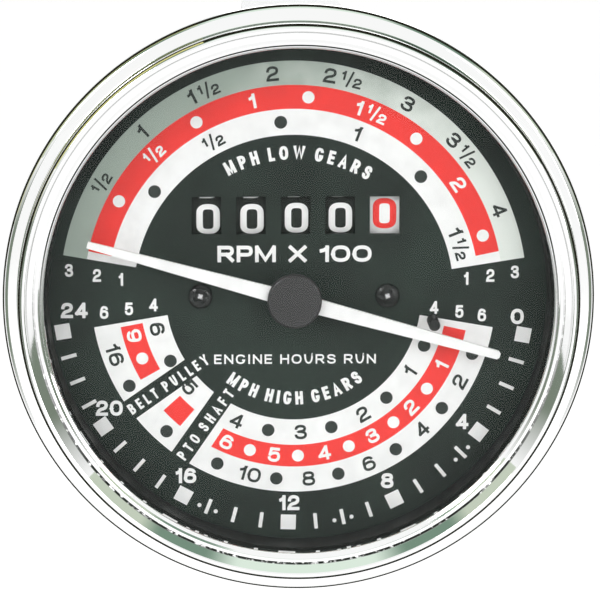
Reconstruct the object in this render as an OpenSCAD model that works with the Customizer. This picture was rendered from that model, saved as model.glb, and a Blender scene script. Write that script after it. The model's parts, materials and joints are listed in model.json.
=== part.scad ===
// Tractor tachometer with engine hour counter, magnetic drag movement and panel clamp.
// The parts are drawn in the dial's own frame: X right, Y up, Z towards the driver,
// with Z = 0 on the face of the panel. stand_up() turns them so that the dial looks along -Y.

/* [Case and bezel] */
// Outside radius of the case barrel
case_r = 50; // [49:0.5:50.5]
// Sheet thickness of the case
case_t = 0.8; // [0.6:0.1:1.0]
// Overhang of the bezel beyond the case barrel
bezel_over = 4.5; // [4.2:0.1:6]
// Sheet thickness of the bezel
bezel_t = 0.8; // [0.7:0.05:0.8]
// Height of the bezel's outer bead above the panel
bead_h = 3.0; // [2.9:0.1:3.4]
// Width from the bezel's outside to the wall between the bead and the crest
bead_w = 3.1; // [2.9:0.05:3.3]
// Height of the bezel's crest above the panel
crest_h = 8.0; // [7.4:0.2:9]
// Width from that wall to the inside edge of the bezel's lip
lip_w = 4.8; // [4.4:0.1:5.2]
// How far the rolled-on bezel sits to the right of the case's axis
ring_shift = 0.8; // [0:0.1:0.8]
// Thickness of the glass
glass_t = 1.6; // [1.2:0.1:1.8]
// Thickness of the rubber ring behind the glass
seal_t = 0.6; // [0.4:0.1:0.8]

/* [Dial and pointer] */
// Depth of the dial's face behind the panel
dial_depth = 4.6; // [4:0.2:5]
// Thickness of the dial plate
dial_t = 0.8; // [0.6:0.1:0.8]
// Width from the case barrel's outside to the edge of the dial plate
dial_gap = 1.6; // [1.2:0.1:2.4]
// Distance of each dial screw from the centre
screw_x = 17.4; // [17.2:0.1:18]
// Head radius of the dial screws
screw_head_r = 2.3; // [2:0.1:2.6]
// Width of a counter window
window_w = 5.5; // [5:0.1:6]
// Height of a counter window
window_h = 7.0; // [6:0.1:7.5]
// Distance from the pivot to either tip of the pointer
pointer_r = 39.4; // [36:0.1:42]
// Width of the pointer at its hub
pointer_w = 3.0; // [2.4:0.1:3.4]
// Width of the pointer at its engine speed tip
rpm_tip_w = 1.6; // [1:0.1:2]
// Width of the pointer at its road speed tip
mph_tip_w = 1.25; // [0.8:0.05:1.6]
// Angle of the pointer at rest, below the right-hand horizontal
rest_angle = 15.4; // [12:0.2:16]
// Swing of the pointer from rest to the end of the scale
swing = 155.4; // [140:0.2:156]
// Radius of the peg that stops the pointer at zero
zero_peg_r = 1.05; // [0.8:0.05:1.2]
// Distance of that peg from the centre
zero_peg_place = 26.2; // [24:0.1:28]
// Radius of the pointer's cap
cap_r = 5.0; // [4:0.1:5.4]

/* [Counter] */
// Distance from one number drum to the next
drum_pitch = 8.25; // [8.2:0.01:8.8]
// Radius of a number drum
drum_r = 10.8; // [10:0.1:10.9]
// Width of a drum's number band
rim_w = 6.2; // [6.1:0.05:6.3]
// Running gap between the gears of two neighbouring drums
drum_clear = 0.25; // [0.2:0.01:0.4]
// Height of the drum shaft above the dial's centre
drum_y = 15.1; // [14.6:0.1:15.6]
// Sideways place of the middle drum
counter_x = 0.3; // [0:0.05:0.6]
// Module of the carry gears
carry_module = 0.85; // [0.84:0.005:0.87]
// Direction of the carry shaft from the drum shaft, measured from straight up towards the back
carry_angle = 45; // [30:5:60]

/* [Drive train] */
// Teeth on the cross shaft's wheel
cross_teeth = 35; // [33:1:36]
// Teeth on the layshaft's wheel
lay_teeth = 40; // [38:1:42]
// Teeth on the counter's wheel
counter_teeth = 33; // [30:1:34]
// Module of the spindle worm and its wheel
spindle_module = 0.45; // [0.44:0.005:0.46]
// Module of the cross shaft's worm and its wheel
cross_module = 0.6; // [0.58:0.01:0.62]
// Module of the layshaft's worm and the counter's wheel
counter_module = 0.45; // [0.43:0.005:0.48]
// Pitch radius of the spindle worm
spindle_worm_r = 2.6; // [2.4:0.1:2.8]
// Pitch radius of the cross shaft's worm
cross_worm_r = 2.8; // [2.6:0.1:3]
// Width of the worm wheels
wheel_w = 2.0; // [1.6:0.1:2.2]
// Gap between the cross shaft's wheel and the boss behind it
train_gap = 0.885; // [0.6:0.005:3]
// Share of the pitch that a tooth or a thread fills
tooth_share = 0.36; // [0.3:0.01:0.38]

/* [Movement] */
// Radius of the rotating magnet
magnet_r = 11; // [9:0.5:11]
// Height of the rotating magnet
magnet_h = 6.5; // [5:0.5:7]
// Air gap on each side of the drag cup
cup_gap = 0.7; // [0.5:0.05:0.75]
// Radius of the frame's main plate
plate_r = 32; // [30:1:34]
// Thickness of the frame's main plate
plate_t = 3; // [2.5:0.5:3.5]
// Gap between the drag cup's hub and the counter's frame
cup_clear = 1.5; // [1.2:0.1:4]
// Radius of the pillars
pillar_r = 2.7; // [2.4:0.1:2.8]
// Outside radius of the hairspring
spring_r = 5; // [4:0.1:5.2]
// Turns of the hairspring
spring_turns = 6; // [4:1:8]

/* [Back fittings] */
// Outside radius of the drive nipple's thread
nipple_r = 7.9375; // [7.5:0.0125:9]
// Length of the drive nipple behind its flange
nipple_len = 12.8; // [10:0.2:16]
// Side of the square socket in the drive spindle
drive_square = 3.0; // [2.6:0.1:3.3]
// Distance of the mounting studs from the centre
stud_y = 25; // [24:0.5:27]
// Radius of the mounting studs
stud_r = 2.5; // [2:0.1:2.7]
// Width of the clamp bracket's strip
strap_w = 19; // [14:1:22]
// Thickness of the clamp bracket's strip
strap_t = 1.6; // [1.2:0.1:2]
// Panel thickness that the clamp is set for
panel_t = 3; // [1.5:0.5:6]
// Sideways place of the lamps
lamp_x = 26; // [25:0.5:27]
// Height of the lamps above the centre
lamp_y = 28; // [27:0.5:29]
// Radius of a lamp bulb
bulb_r = 4.4; // [4:0.1:4.5]

/* [Hidden] */
$fn = 64;

// Clearances: a pressed or seated fit, and a running fit, both on the radius.
seat = 0.02;
run = 0.05;
// A cut runs this far past the faces that it opens.
past = 1;

// Heights of the stacked pieces, from the panel face towards the driver.
flange_front = bezel_t + case_t;
spacer_front = bead_h - bezel_t;
glass_back = spacer_front + seal_t;
glass_front = glass_back + glass_t;
// Radii of the bezel, and of the rings that it holds, counted from its own axis.
bezel_r = case_r + bezel_over;
wall_r = bezel_r - bead_w;
lip_r = wall_r - lip_w;
bead_r = bead_h / 2;
bead_centre = bezel_r - bead_r;
flange_r = bead_centre - ring_shift - 0.1;
glass_r = wall_r - bezel_t - 0.6;
spacer_r = lip_r - 0.3;
back_lip_r = case_r + ring_shift + 0.2;

// Radius of the dial plate, and the depths of its pieces.
dial_r = case_r - dial_gap;
dial_front = -dial_depth;
dial_back = dial_front - dial_t;
bridge_t = 1.5;
spacer_len = 2.1;
bridge_front = dial_back - spacer_len;
bridge_back = bridge_front - bridge_t;
bridge_low = -3.4;
bridge_high = 2.6;
bridge_end_r = 3.2;

// The counter: the drums stand just behind the dial.
drum_gap = 0.5;
drum_z = dial_back - drum_gap - drum_r;
drum_shaft_r = 1.0;
carry_shaft_r = 0.8;
gear_w = (drum_pitch - rim_w - drum_clear) / 2;
ring_teeth = 20;
pinion_teeth = 8;
ring_gear_r = ring_teeth * carry_module / 2;
pinion_gear_r = pinion_teeth * carry_module / 2;
carry_distance = ring_gear_r + pinion_gear_r;
carry_y = drum_y + carry_distance * cos(carry_angle);
carry_z = drum_z - carry_distance * sin(carry_angle);
lock_disc_r = ring_gear_r + 0.5;
counter_plate_t = 1.0;
counter_plate_front = drum_z - drum_r - 1.1;
counter_plate_back = counter_plate_front - counter_plate_t;
clip_gap = 0.1;
clip_t = 0.5;
shaft_past = 1.6;
function drum_x(place) = counter_x + (2 - place) * drum_pitch;
left_plate_x = drum_x(4) - rim_w / 2 - 0.3 - counter_plate_t;

// The drive train: spindle, cross shaft below it, and a layshaft that runs forward to the counter.
add_share = 0.85;
root_share = 1.15;
cross_wheel_r = cross_teeth * spindle_module / 2;
lay_wheel_r = lay_teeth * cross_module / 2;
counter_wheel_r = counter_teeth * counter_module / 2;
cross_y = -(cross_wheel_r + spindle_worm_r);
lay_y = cross_y + lay_wheel_r + cross_worm_r;
lay_worm_r = drum_y - lay_y - counter_wheel_r;
lay_x = drum_x(0) + rim_w / 2 + lay_worm_r + add_share * counter_module + 0.6;
right_plate_x = lay_x + wheel_w / 2 + 0.4;
sheet_t = 0.4;
field_t = 0.9;
magnet_lift = 0.6;
cup_lift = 0.9;
cup_hub_h = 2;
cup_stack = magnet_lift + magnet_h + cup_lift + cup_hub_h;
plate_front = counter_plate_back - cup_clear - cup_stack - field_t;
plate_back = plate_front - plate_t;
cross_tip_r = cross_wheel_r + add_share * spindle_module;
train_z = plate_back - cross_tip_r - 0.6;
boss_front = train_z - cross_tip_r - train_gap;
boss_depth = 4.2;
case_floor = boss_front - boss_depth;
case_back = case_floor - case_t;
cross_r = 1.2;
lay_r = 1.2;
bush_wall = 1.2;
wall_x = 8.5;
wall_t = 3;
end_wall_x = lay_x + 7.5;
worm_turns = 4;
worm_steps = 15;

// The magnet, with the drag cup round it and the field cup outside.
field_floor = plate_front + field_t;
magnet_back = field_floor + magnet_lift;
magnet_front = magnet_back + magnet_h;
cup_inner_r = magnet_r + cup_gap;
cup_outer_r = cup_inner_r + sheet_t;
field_inner_r = cup_outer_r + cup_gap;
cup_disc_back = magnet_front + cup_lift;
staff_r = 0.6;
pivot_r = 0.3;
spindle_r = 3.0;
spindle_neck_r = 1.5;

// The pointer, its cap and the hairspring.
pointer_t = 0.8;
pointer_back = 0.1;
pointer_front = pointer_back + pointer_t;
cap_front = glass_back - 0.5;
collet_r = 1.5;
spring_w = 0.7;
spring_t = 0.12;
spring_gap = 1.5;
spring_front = bridge_back - spring_gap;
stop_radius = spring_r + 1.2;
stop_pin_r = 0.6;
stop_arm_w = 1.2;
stop_arm_t = 0.8;
stop_arm_gap = 1.2;
stop_arm_front = spring_front - spring_w - stop_arm_gap;
stop_pin_past = 0.4;
stop_half_angle = asin((stop_arm_w / 2 + stop_pin_r) / stop_radius);
stop_slack = 0.8;
zero_peg_gap = 0.3;
zero_peg_past = 0.5;

// Fittings on the back of the case.
nipple_flange_r = 11;
nipple_flange_t = 2.2;
nipple_end = case_back - nipple_flange_t - nipple_len;
spigot_r = 9;
bush_r = spindle_r + 1.8;
spindle_end = nipple_end + 1.5;
post_r = 4;
screw_post_x = 22;
screw_post_y = -18;
screw_post_r = 3.2;
case_screw_r = 1.75;
collar_t = 2.5;
collar_r = 4.6;
strap_front = case_back - collar_t;
strap_back = strap_front - strap_t;
strap_gap = 1.0;
strap_disc_r = 19;
washer_t = 1.2;
nut_r = 6.5;
nut_t = 7.5;
holder_r = 6.5;
holder_flange_r = 8;
pillar_stud_r = 1.5;
pillar_stud_len = 6;
dial_screw_r = 1.2;
dial_screw_len = 6;
case_screw_len = 8;
stud_seat_len = 9;
stud_tip = 2;
holder_len = 10;
holder_floor = 1;
cap_len = 9;
tab_len = 7;

// Points of an arc about (cx, cy) from angle a0 to a1, in so many steps.
function arc_points(cx, cy, r, a0, a1, steps) =
    [for (i = [0:steps]) let (a = a0 + (a1 - a0) * i / steps) [cx + r * cos(a), cy + r * sin(a)]];

// Outline of a wheel with straight-sided teeth and a gap at angle 0.
function gear_points(teeth, size, share) =
    let (pitch_r = teeth * size / 2,
         tip = pitch_r + add_share * size,
         root = pitch_r - root_share * size,
         half = share * PI * size / 2)
    [for (i = [0:teeth - 1], side = [0:3])
        let (r = (side == 0 || side == 3) ? root : tip,
             arc = half - (r - pitch_r) * tan(20),
             turn = (side < 2 ? -1 : 1) * arc / r * 180 / PI,
             a = (i + 0.5) * 360 / teeth + turn)
        [r * cos(a), r * sin(a)]];

// Radius of a one-start worm's cross-section at an angle from the middle of its thread.
function worm_radius(size, pitch_r, share, a) =
    let (tip = pitch_r + add_share * size,
         root = pitch_r - root_share * size,
         half = share * PI * size / 2,
         along = abs(a) / 360 * PI * size)
    max(root, min(tip, pitch_r + (half - along) / tan(20)));

function worm_points(size, pitch_r, share) =
    let (half = share * PI * size / 2,
         tip_a = (half - add_share * size * tan(20)) / (PI * size) * 360,
         root_a = (half + root_share * size * tan(20)) / (PI * size) * 360,
         step = (root_a - tip_a) / 4,
         half_angles = concat([for (k = [0:4]) tip_a + k * step], [(root_a + 180) / 2]),
         angles = concat([0], half_angles, [180], [for (k = [5:-1:0]) -half_angles[k]]))
    [for (a = angles) let (r = worm_radius(size, pitch_r, share, a)) [r * cos(a), r * sin(a)]];

// Turns the dial's frame into the part's own: dial forward is -Y and dial up is +Z.
module stand_up() {
    rotate([90, 0, 0]) children();
}

// A cylinder along Z between two heights.
module rod(r, low, high) {
    translate([0, 0, low]) cylinder(r = r, h = high - low);
}

// A tube along Z between two heights.
module tube(outer, inner, low, high) {
    difference() {
        rod(outer, low, high);
        rod(inner, low - past, high + past);
    }
}

// The same two along X, through the point (y, z).
module rod_x(r, y, z, left, right) {
    translate([0, y, z]) rotate([0, 90, 0]) rod(r, left, right);
}

module tube_x(outer, inner, y, z, left, right) {
    translate([0, y, z]) rotate([0, 90, 0]) tube(outer, inner, left, right);
}

module slab(low, high) {
    translate(low) cube(high - low);
}

// A worm sleeve about Z, centred on the origin, with the middle of its thread at angle 0 there.
module worm(size, pitch_r, bore) {
    length = worm_turns * PI * size;
    difference() {
        translate([0, 0, -length / 2])
            linear_extrude(height = length, twist = -360 * worm_turns,
                slices = worm_turns * worm_steps, $fn = 12)
                polygon(worm_points(size, pitch_r, tooth_share));
        rod(bore, -length, length);
    }
}

// A toothed wheel about Z, centred on the origin, with a hub and a bore.
module wheel(teeth, size, width, hub, bore) {
    difference() {
        union() {
            translate([0, 0, -width / 2]) linear_extrude(height = width)
                polygon(gear_points(teeth, size, tooth_share));
            rod(hub, -width, width);
        }
        rod(bore, -2 * width, 2 * width);
    }
}

// Places a copy at +x and a copy at -x.
module both_sides(x, y) {
    for (side = [-1, 1]) translate([side * x, y, 0]) children();
}

// Places a copy at +y and a copy at -y.
module top_and_bottom(y) {
    for (side = [-1, 1]) translate([0, side * y, 0]) children();
}

// The bezel: a rolled bead, a shelf, a wall up to the crest and a slope in to the lip.
module bezel() {
    outer = concat(
        [[back_lip_r, 0]],
        arc_points(bead_centre, bead_r, bead_r, -90, 80, 8),
        [[wall_r + 0.5, bead_h]],
        [[wall_r, bead_h + 0.5]],
        arc_points(wall_r - 1.1, crest_h - 1, 1, 10, 110, 6),
        [[lip_r + 1.1, crest_h - 2.5]],
        arc_points(lip_r + 0.9, glass_front + 0.9, 0.9, 100, 180, 4),
        [[lip_r, glass_front]]);
    inner = concat(
        [[back_lip_r, bezel_t]],
        arc_points(bead_centre, bead_r, bead_r - bezel_t, -90, 90, 8),
        [[wall_r - bezel_t, bead_h - bezel_t]],
        [[wall_r - bezel_t, crest_h - 1.4]],
        [[wall_r - 1.3, crest_h - 1.0]],
        [[lip_r + 1.5, glass_front]]);
    last = len(inner) - 1;
    color("gainsboro") stand_up() translate([ring_shift, 0, 0]) rotate_extrude()
        polygon(concat(outer, [for (i = [last:-1:0]) inner[i]]));
}

module glass() {
    color([0.85, 0.92, 0.95, 0.35]) stand_up() translate([ring_shift, 0, 0])
        rod(glass_r, glass_back, glass_front);
}

module glass_seal() {
    color("#222222") stand_up() translate([ring_shift, 0, 0])
        tube(glass_r, lip_r + 0.4, spacer_front, glass_back);
}

// The black ring that hides the gap between the glass and the dial.
module spacer_ring() {
    color("#1c1e1e") stand_up() translate([ring_shift, 0, 0]) difference() {
        union() {
            rod(flange_r, flange_front, spacer_front);
            rod(spacer_r + 0.8, dial_front, spacer_front);
        }
        rod(spacer_r, dial_front - past, spacer_front + past);
    }
}

module case_can() {
    color("dimgray") stand_up() difference() {
        union() {
            rod(case_r, case_back, flange_front);
            rod(flange_r, bezel_t, flange_front);
        }
        rod(case_r - case_t, case_floor, flange_front + past);
        rod(spigot_r + seat, case_back - past, case_floor + past);
        top_and_bottom(stud_y) rod(stud_r + seat, case_back - past, case_floor + past);
        both_sides(screw_post_x, screw_post_y)
            rod(case_screw_r + seat, case_back - past, case_floor + past);
        both_sides(lamp_x, lamp_y) rod(holder_r + seat, case_back - past, case_floor + past);
    }
}

module dial_plate() {
    color("#2f3333") stand_up() difference() {
        rod(dial_r, dial_back, dial_front);
        rod(staff_r + 1.6, dial_back - past, dial_front + past);
        both_sides(screw_x, 0) rod(dial_screw_r + 0.2, dial_back - past, dial_front + past);
        at_zero_peg() rod(stop_pin_r + seat, dial_back - past, dial_front + past);
        for (place = [0:4]) translate([drum_x(place), drum_y, dial_back + dial_t / 2])
            cube([window_w, window_h, 2 * dial_t], center = true);
    }
}

// Pan heads with a cross recess.
module dial_screws() {
    head_h = 1.3;
    recess_w = 0.7;
    dome_r = 3.4;
    color("#141414") stand_up() both_sides(screw_x, 0) difference() {
        union() {
            intersection() {
                rod(screw_head_r, dial_front, dial_front + head_h);
                translate([0, 0, dial_front + head_h - dome_r]) sphere(r = dome_r);
            }
            rod(dial_screw_r, bridge_back - dial_screw_len, dial_front + 0.1);
        }
        for (turn = [20, 110]) rotate([0, 0, turn]) translate([0, 0, dial_front + head_h])
            cube([2 * screw_head_r - 1.6, recess_w, 1.4], center = true);
    }
}

module dial_spacers() {
    color("tan") stand_up() both_sides(screw_x, 0)
        tube(pillar_r, dial_screw_r + run, bridge_front, dial_back);
}

// The double-ended pointer: one end reads engine speed and the other road speed.
module pointer() {
    color("white") stand_up() rotate([0, 0, -rest_angle]) difference() {
        union() {
            translate([0, 0, pointer_back]) linear_extrude(height = pointer_t) polygon([
                [0, -pointer_w / 2],
                [pointer_r - 0.4, -rpm_tip_w / 2],
                [pointer_r, -rpm_tip_w / 2 + 0.4],
                [pointer_r, rpm_tip_w / 2 - 0.4],
                [pointer_r - 0.4, rpm_tip_w / 2],
                [0, pointer_w / 2],
                [-pointer_r, mph_tip_w / 2],
                [-pointer_r, -mph_tip_w / 2]
            ]);
            rod(3.2, pointer_back - 1.2, pointer_back + 0.1);
        }
        rod(staff_r + seat, pointer_back - 3, pointer_front + past);
    }
}

module pointer_cap() {
    color("#191a1a") stand_up() difference() {
        rod(cap_r, pointer_front, cap_front);
        rod(staff_r + seat, pointer_front - past, pointer_front + 0.5);
    }
}

// The pointer's staff, with a thin pivot at its back end that runs in the jewel.
module pointer_staff() {
    color("silver") stand_up() {
        rod(staff_r, magnet_front + 0.2, pointer_front + 0.45);
        rod(pivot_r, magnet_front - 1.4, magnet_front + 0.3);
    }
}

module drag_cup() {
    hub_r = 2;
    color("lightgray") stand_up() difference() {
        union() {
            rod(cup_outer_r, magnet_back + 0.5, cup_disc_back + sheet_t);
            rod(hub_r, cup_disc_back, cup_disc_back + cup_hub_h);
        }
        rod(cup_inner_r, magnet_back - past, cup_disc_back);
        rod(staff_r + seat, cup_disc_back - past, cup_disc_back + cup_hub_h + past);
    }
}

// The collet that holds the hairspring's inner end and carries the stop arm.
module hairspring_collet() {
    color("goldenrod") stand_up() difference() {
        union() {
            rod(collet_r, stop_arm_front - stop_arm_t - 0.3, spring_front + 0.3);
            rotate([0, 0, -rest_angle]) slab(
                [staff_r + 0.3, -stop_arm_w / 2, stop_arm_front - stop_arm_t],
                [stop_radius + 1, stop_arm_w / 2, stop_arm_front]);
        }
        rod(staff_r + seat, stop_arm_front - 5, spring_front + past);
    }
}

// A flat spiral from the collet to the regulator lever's pin.
module hairspring() {
    inner = collet_r + 0.1;
    steps = spring_turns * 24;
    function spiral(offset, i) =
        let (a = -90 - 360 * spring_turns * (1 - i / steps),
             r = inner + (spring_r - inner) * i / steps + offset)
        [r * cos(a), r * sin(a)];
    color("slategray") stand_up() translate([0, 0, spring_front - spring_w])
        linear_extrude(height = spring_w) polygon(concat(
            [for (i = [0:steps]) spiral(0, i)],
            [for (i = [steps:-1:0]) spiral(spring_t, i)]));
}

// The bar behind the dial that carries the staff's front bush and the pin that ends its swing.
module front_bridge() {
    color("burlywood") stand_up() difference() {
        union() {
            slab([-screw_x, bridge_low, bridge_back], [screw_x, bridge_high, bridge_front]);
            both_sides(screw_x, 0) rod(bridge_end_r, bridge_back, bridge_front);
            rod(stop_radius + 1.2, bridge_back, bridge_front);
        }
        slab([-2 * stop_radius, bridge_high, bridge_back - past],
            [2 * stop_radius, 2 * stop_radius, bridge_front + past]);
        rod(2 + seat, bridge_back - past, bridge_front + past);
        both_sides(screw_x, 0) rod(dial_screw_r + run, bridge_back - past, bridge_front + past);
        at_end_pin() rod(stop_pin_r + seat, bridge_back - past, bridge_front + past);
    }
}

// Just past the stop arm's place at the end of the swing.
module at_end_pin() {
    rotate([0, 0, -rest_angle - swing - stop_half_angle - stop_slack])
        translate([stop_radius, 0, 0]) children();
}

// Just clear of the pointer's upper edge at rest.
module at_zero_peg() {
    half_w = (pointer_w + (rpm_tip_w - pointer_w) * zero_peg_place / pointer_r) / 2;
    clear_angle = asin((half_w + zero_peg_r + zero_peg_gap) / zero_peg_place);
    rotate([0, 0, clear_angle - rest_angle]) translate([zero_peg_place, 0, 0]) children();
}

// The pin on the bridge that ends the swing, and the peg on the dial that stops the pointer at zero.
module stop_pins() {
    color("#191a1a") stand_up() {
        at_end_pin() rod(stop_pin_r, stop_arm_front - stop_arm_t - stop_pin_past, bridge_front);
        at_zero_peg() rod(stop_pin_r, dial_back, dial_front + 0.1);
        at_zero_peg() rod(zero_peg_r, dial_front, pointer_front + zero_peg_past);
    }
}

module front_bush() {
    color("gold") stand_up() tube(2, staff_r + run, bridge_back - 0.7, bridge_front + 0.4);
}

// The lever that holds the spring's outer end and sets its zero.
module regulator_lever() {
    pin_r = 0.3;
    pin_y = -(spring_r + spring_t + pin_r + 0.05);
    back = bridge_back - 0.6;
    color("khaki") stand_up() difference() {
        union() {
            rod(3.2, back, bridge_back);
            slab([-0.7, pin_y - 1, back], [0.7, -2.4, bridge_back]);
            translate([0, pin_y, 0]) rod(pin_r, spring_front - spring_w, back + 0.1);
        }
        rod(2 + seat, back - past, bridge_back + past);
    }
}

module field_cup() {
    color("slategray") stand_up() difference() {
        rod(field_inner_r + field_t, plate_front, magnet_front);
        rod(field_inner_r, field_floor, magnet_front + past);
        rod(5, plate_front - past, field_floor + past);
    }
}

module magnet() {
    color("#555a60") stand_up() tube(magnet_r, spindle_neck_r + seat, magnet_back, magnet_front);
}

module staff_jewel() {
    color("crimson") stand_up() tube(0.88, pivot_r + run, magnet_front - 1.5, magnet_front);
}

// The spindle: a square socket at its back, a collar on the thrust washer, the jewel at its front.
module drive_spindle() {
    collar_back = boss_front + 0.6;
    color("lightsteelblue") stand_up() difference() {
        union() {
            rod(spindle_r, spindle_end, collar_back);
            rod(spindle_r + 1.4, collar_back, collar_back + 0.8);
            rod(spindle_neck_r, collar_back + 0.7, magnet_front);
        }
        translate([0, 0, spindle_end + 6])
            cube([drive_square, drive_square, 12 + 0.02], center = true);
        rod(0.88 + seat, magnet_front - 1.5, magnet_front + past);
    }
}

module spindle_worm() {
    color("tan") stand_up() translate([0, 0, train_z]) rotate([0, 0, -90])
        worm(spindle_module, spindle_worm_r, spindle_neck_r + seat);
}

// A long bush at the back, a short one behind the thrust washer and one in the main plate.
module spindle_bushes() {
    felt = 1.8;
    short = 1.4;
    color("peru") stand_up() {
        tube(bush_r, spindle_r + run, spindle_end + 0.2, boss_front - short - felt);
        tube(bush_r, spindle_r + run, boss_front - short, boss_front);
        tube(spindle_neck_r + bush_wall, spindle_neck_r + run, plate_back, plate_front);
    }
}

module oil_felt() {
    color("beige") stand_up()
        tube(bush_r - seat, spindle_r + run + seat, boss_front - 3.2 + seat, boss_front - 1.4 - seat);
}

module thrust_washer() {
    color("silver") stand_up() tube(bush_r, spindle_r + 0.1, boss_front + seat, boss_front + 0.55);
}

// The cross shaft runs below the spindle, from the left wall to the end wall.
module cross_shaft() {
    color("lightsteelblue") stand_up() rod_x(cross_r, cross_y, train_z,
        -wall_x - wall_t / 2, end_wall_x + wall_t / 2);
}

module cross_wheel() {
    color("goldenrod") stand_up() translate([0, cross_y, train_z]) rotate([0, 90, 0])
        rotate([0, 0, 90]) wheel(cross_teeth, spindle_module, wheel_w, 2.6, cross_r + seat);
}

module cross_worm() {
    color("tan") stand_up() translate([lay_x, cross_y, train_z]) rotate([0, 90, 0])
        rotate([0, 0, 90]) worm(cross_module, cross_worm_r, cross_r + seat);
}

module cross_bushes() {
    color("peru") stand_up() for (x = [-wall_x, end_wall_x])
        tube_x(cross_r + bush_wall, cross_r + run, cross_y, train_z, x - wall_t / 2, x + wall_t / 2);
}

// The layshaft runs forward beside the magnet, up to the counter's worm wheel.
module layshaft() {
    reach = worm_turns / 2 * PI * counter_module + 1.4;
    color("lightsteelblue") stand_up() translate([lay_x, lay_y, 0])
        rod(lay_r, train_z - wheel_w - 1, drum_z + reach);
}

module lay_wheel() {
    color("goldenrod") stand_up() translate([lay_x, lay_y, train_z]) rotate([0, 0, -90])
        wheel(lay_teeth, cross_module, wheel_w, 2.6, lay_r + seat);
}

module lay_worm() {
    color("tan") stand_up() translate([lay_x, lay_y, drum_z]) rotate([0, 0, 90])
        worm(counter_module, lay_worm_r, lay_r + seat);
}

module lay_bushes() {
    color("peru") stand_up() translate([lay_x, lay_y, 0]) {
        tube(lay_r + bush_wall, lay_r + run, plate_back, plate_front);
        tube(lay_r + bush_wall, lay_r + run, counter_plate_back, counter_plate_front);
    }
}

// The die-cast frame: main plate, boss for the spindle, posts to the case and shaft walls.
module movement_frame() {
    wall_low = cross_y - cross_r - bush_wall - 2;
    wall_top = 9;
    end_top = cross_y + cross_r + bush_wall + 0.2;
    color("darkgray") stand_up() difference() {
        union() {
            rod(plate_r, plate_back, plate_front);
            rod(nipple_flange_r, case_floor, boss_front);
            top_and_bottom(stud_y) rod(post_r, case_floor, plate_back + 0.5);
            both_sides(screw_post_x, screw_post_y) rod(screw_post_r, case_floor, plate_back + 0.5);
            for (x = [-wall_x, wall_x]) slab(
                [x - wall_t / 2, wall_low, case_floor],
                [x + wall_t / 2, wall_top, plate_back + 0.5]);
            slab([end_wall_x - wall_t / 2, wall_low, case_floor],
                [end_wall_x + wall_t / 2, end_top, plate_front]);
            slab([lay_x, wall_low, plate_back],
                [end_wall_x + wall_t / 2, end_top, plate_front]);
        }
        rod(spigot_r + seat, case_floor - past, boss_front - 0.2);
        rod(bush_r + seat, boss_front - past, boss_front + past);
        rod(spindle_neck_r + bush_wall + seat, plate_back - past, plate_front + past);
        rod_x(cross_r + bush_wall + seat, cross_y, train_z,
            -wall_x - wall_t, end_wall_x + wall_t);
        translate([lay_x, lay_y, 0])
            rod(lay_r + bush_wall + seat, plate_back - past, plate_front + past);
        both_sides(lamp_x, lamp_y) rod(holder_flange_r, plate_back - past, plate_front + past);
        both_sides(screw_x, 0) rod(pillar_stud_r + seat, plate_back - past, plate_front + past);
        top_and_bottom(stud_y)
            rod(stud_r + seat, case_floor - past, case_floor + stud_seat_len + 1);
        both_sides(screw_post_x, screw_post_y)
            rod(case_screw_r + seat, case_floor - past, case_floor + case_screw_len + 1);
    }
}

module lower_pillars() {
    color("lightgray") stand_up() both_sides(screw_x, 0) difference() {
        union() {
            rod(pillar_r, plate_front, counter_plate_back);
            rod(pillar_stud_r, plate_back, plate_front + 0.5);
        }
        rod(pillar_stud_r + seat, counter_plate_back - pillar_stud_len - 0.5,
            counter_plate_back + past);
    }
}

module upper_pillars() {
    color("lightgray") stand_up() both_sides(screw_x, 0) difference() {
        union() {
            rod(pillar_r, counter_plate_front, bridge_back);
            rod(pillar_stud_r, counter_plate_back - pillar_stud_len, counter_plate_front + 0.5);
        }
        rod(dial_screw_r + seat, bridge_back - dial_screw_len - 1, bridge_back + past);
    }
}

// The counter's frame: a back plate between the pillars and two side plates for the shafts.
module counter_frame() {
    bottom = -3.5;
    top = 16;
    plate_left = left_plate_x;
    plate_right = right_plate_x + counter_plate_t;
    side_low = lay_y + lay_worm_r + add_share * counter_module + 0.6;
    color("silver") stand_up() difference() {
        union() {
            slab([plate_left, bottom, counter_plate_back], [plate_right, top, counter_plate_front]);
            for (x = [left_plate_x, right_plate_x]) translate([x, 0, 0])
                rotate([90, 0, 90]) linear_extrude(height = counter_plate_t) polygon([
                    [side_low, counter_plate_back],
                    [top, counter_plate_back],
                    [carry_y + 2.6, carry_z - 1.6],
                    [carry_y + 2.6, carry_z + 2.6],
                    [drum_y + 4, drum_z + 4],
                    [side_low, drum_z + 4]
                ]);
        }
        rod(4, counter_plate_back - past, counter_plate_front + past);
        both_sides(screw_x, 0)
            rod(pillar_stud_r + run, counter_plate_back - past, counter_plate_front + past);
        translate([lay_x, lay_y, 0]) rod(lay_r + bush_wall + seat,
            counter_plate_back - past, counter_plate_front + past);
        rod_x(drum_shaft_r + seat, drum_y, drum_z, plate_left - past, plate_right + past);
        rod_x(carry_shaft_r + seat, carry_y, carry_z, plate_left - past, plate_right + past);
    }
}

// A shaft through both side plates, with a groove for a clip at each end.
module counter_shaft(r, y, z) {
    left = left_plate_x;
    right = right_plate_x + counter_plate_t;
    difference() {
        rod_x(r, y, z, left - shaft_past, right + shaft_past);
        for (x = [left - clip_gap - clip_t - seat, right + clip_gap - seat])
            tube_x(r + past, r - 0.3, y, z, x, x + clip_t + 2 * seat);
    }
}

module drum_shaft() {
    color("lightsteelblue") stand_up() counter_shaft(drum_shaft_r, drum_y, drum_z);
}

module carry_shaft() {
    color("lightsteelblue") stand_up() counter_shaft(carry_shaft_r, carry_y, carry_z);
}

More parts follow.
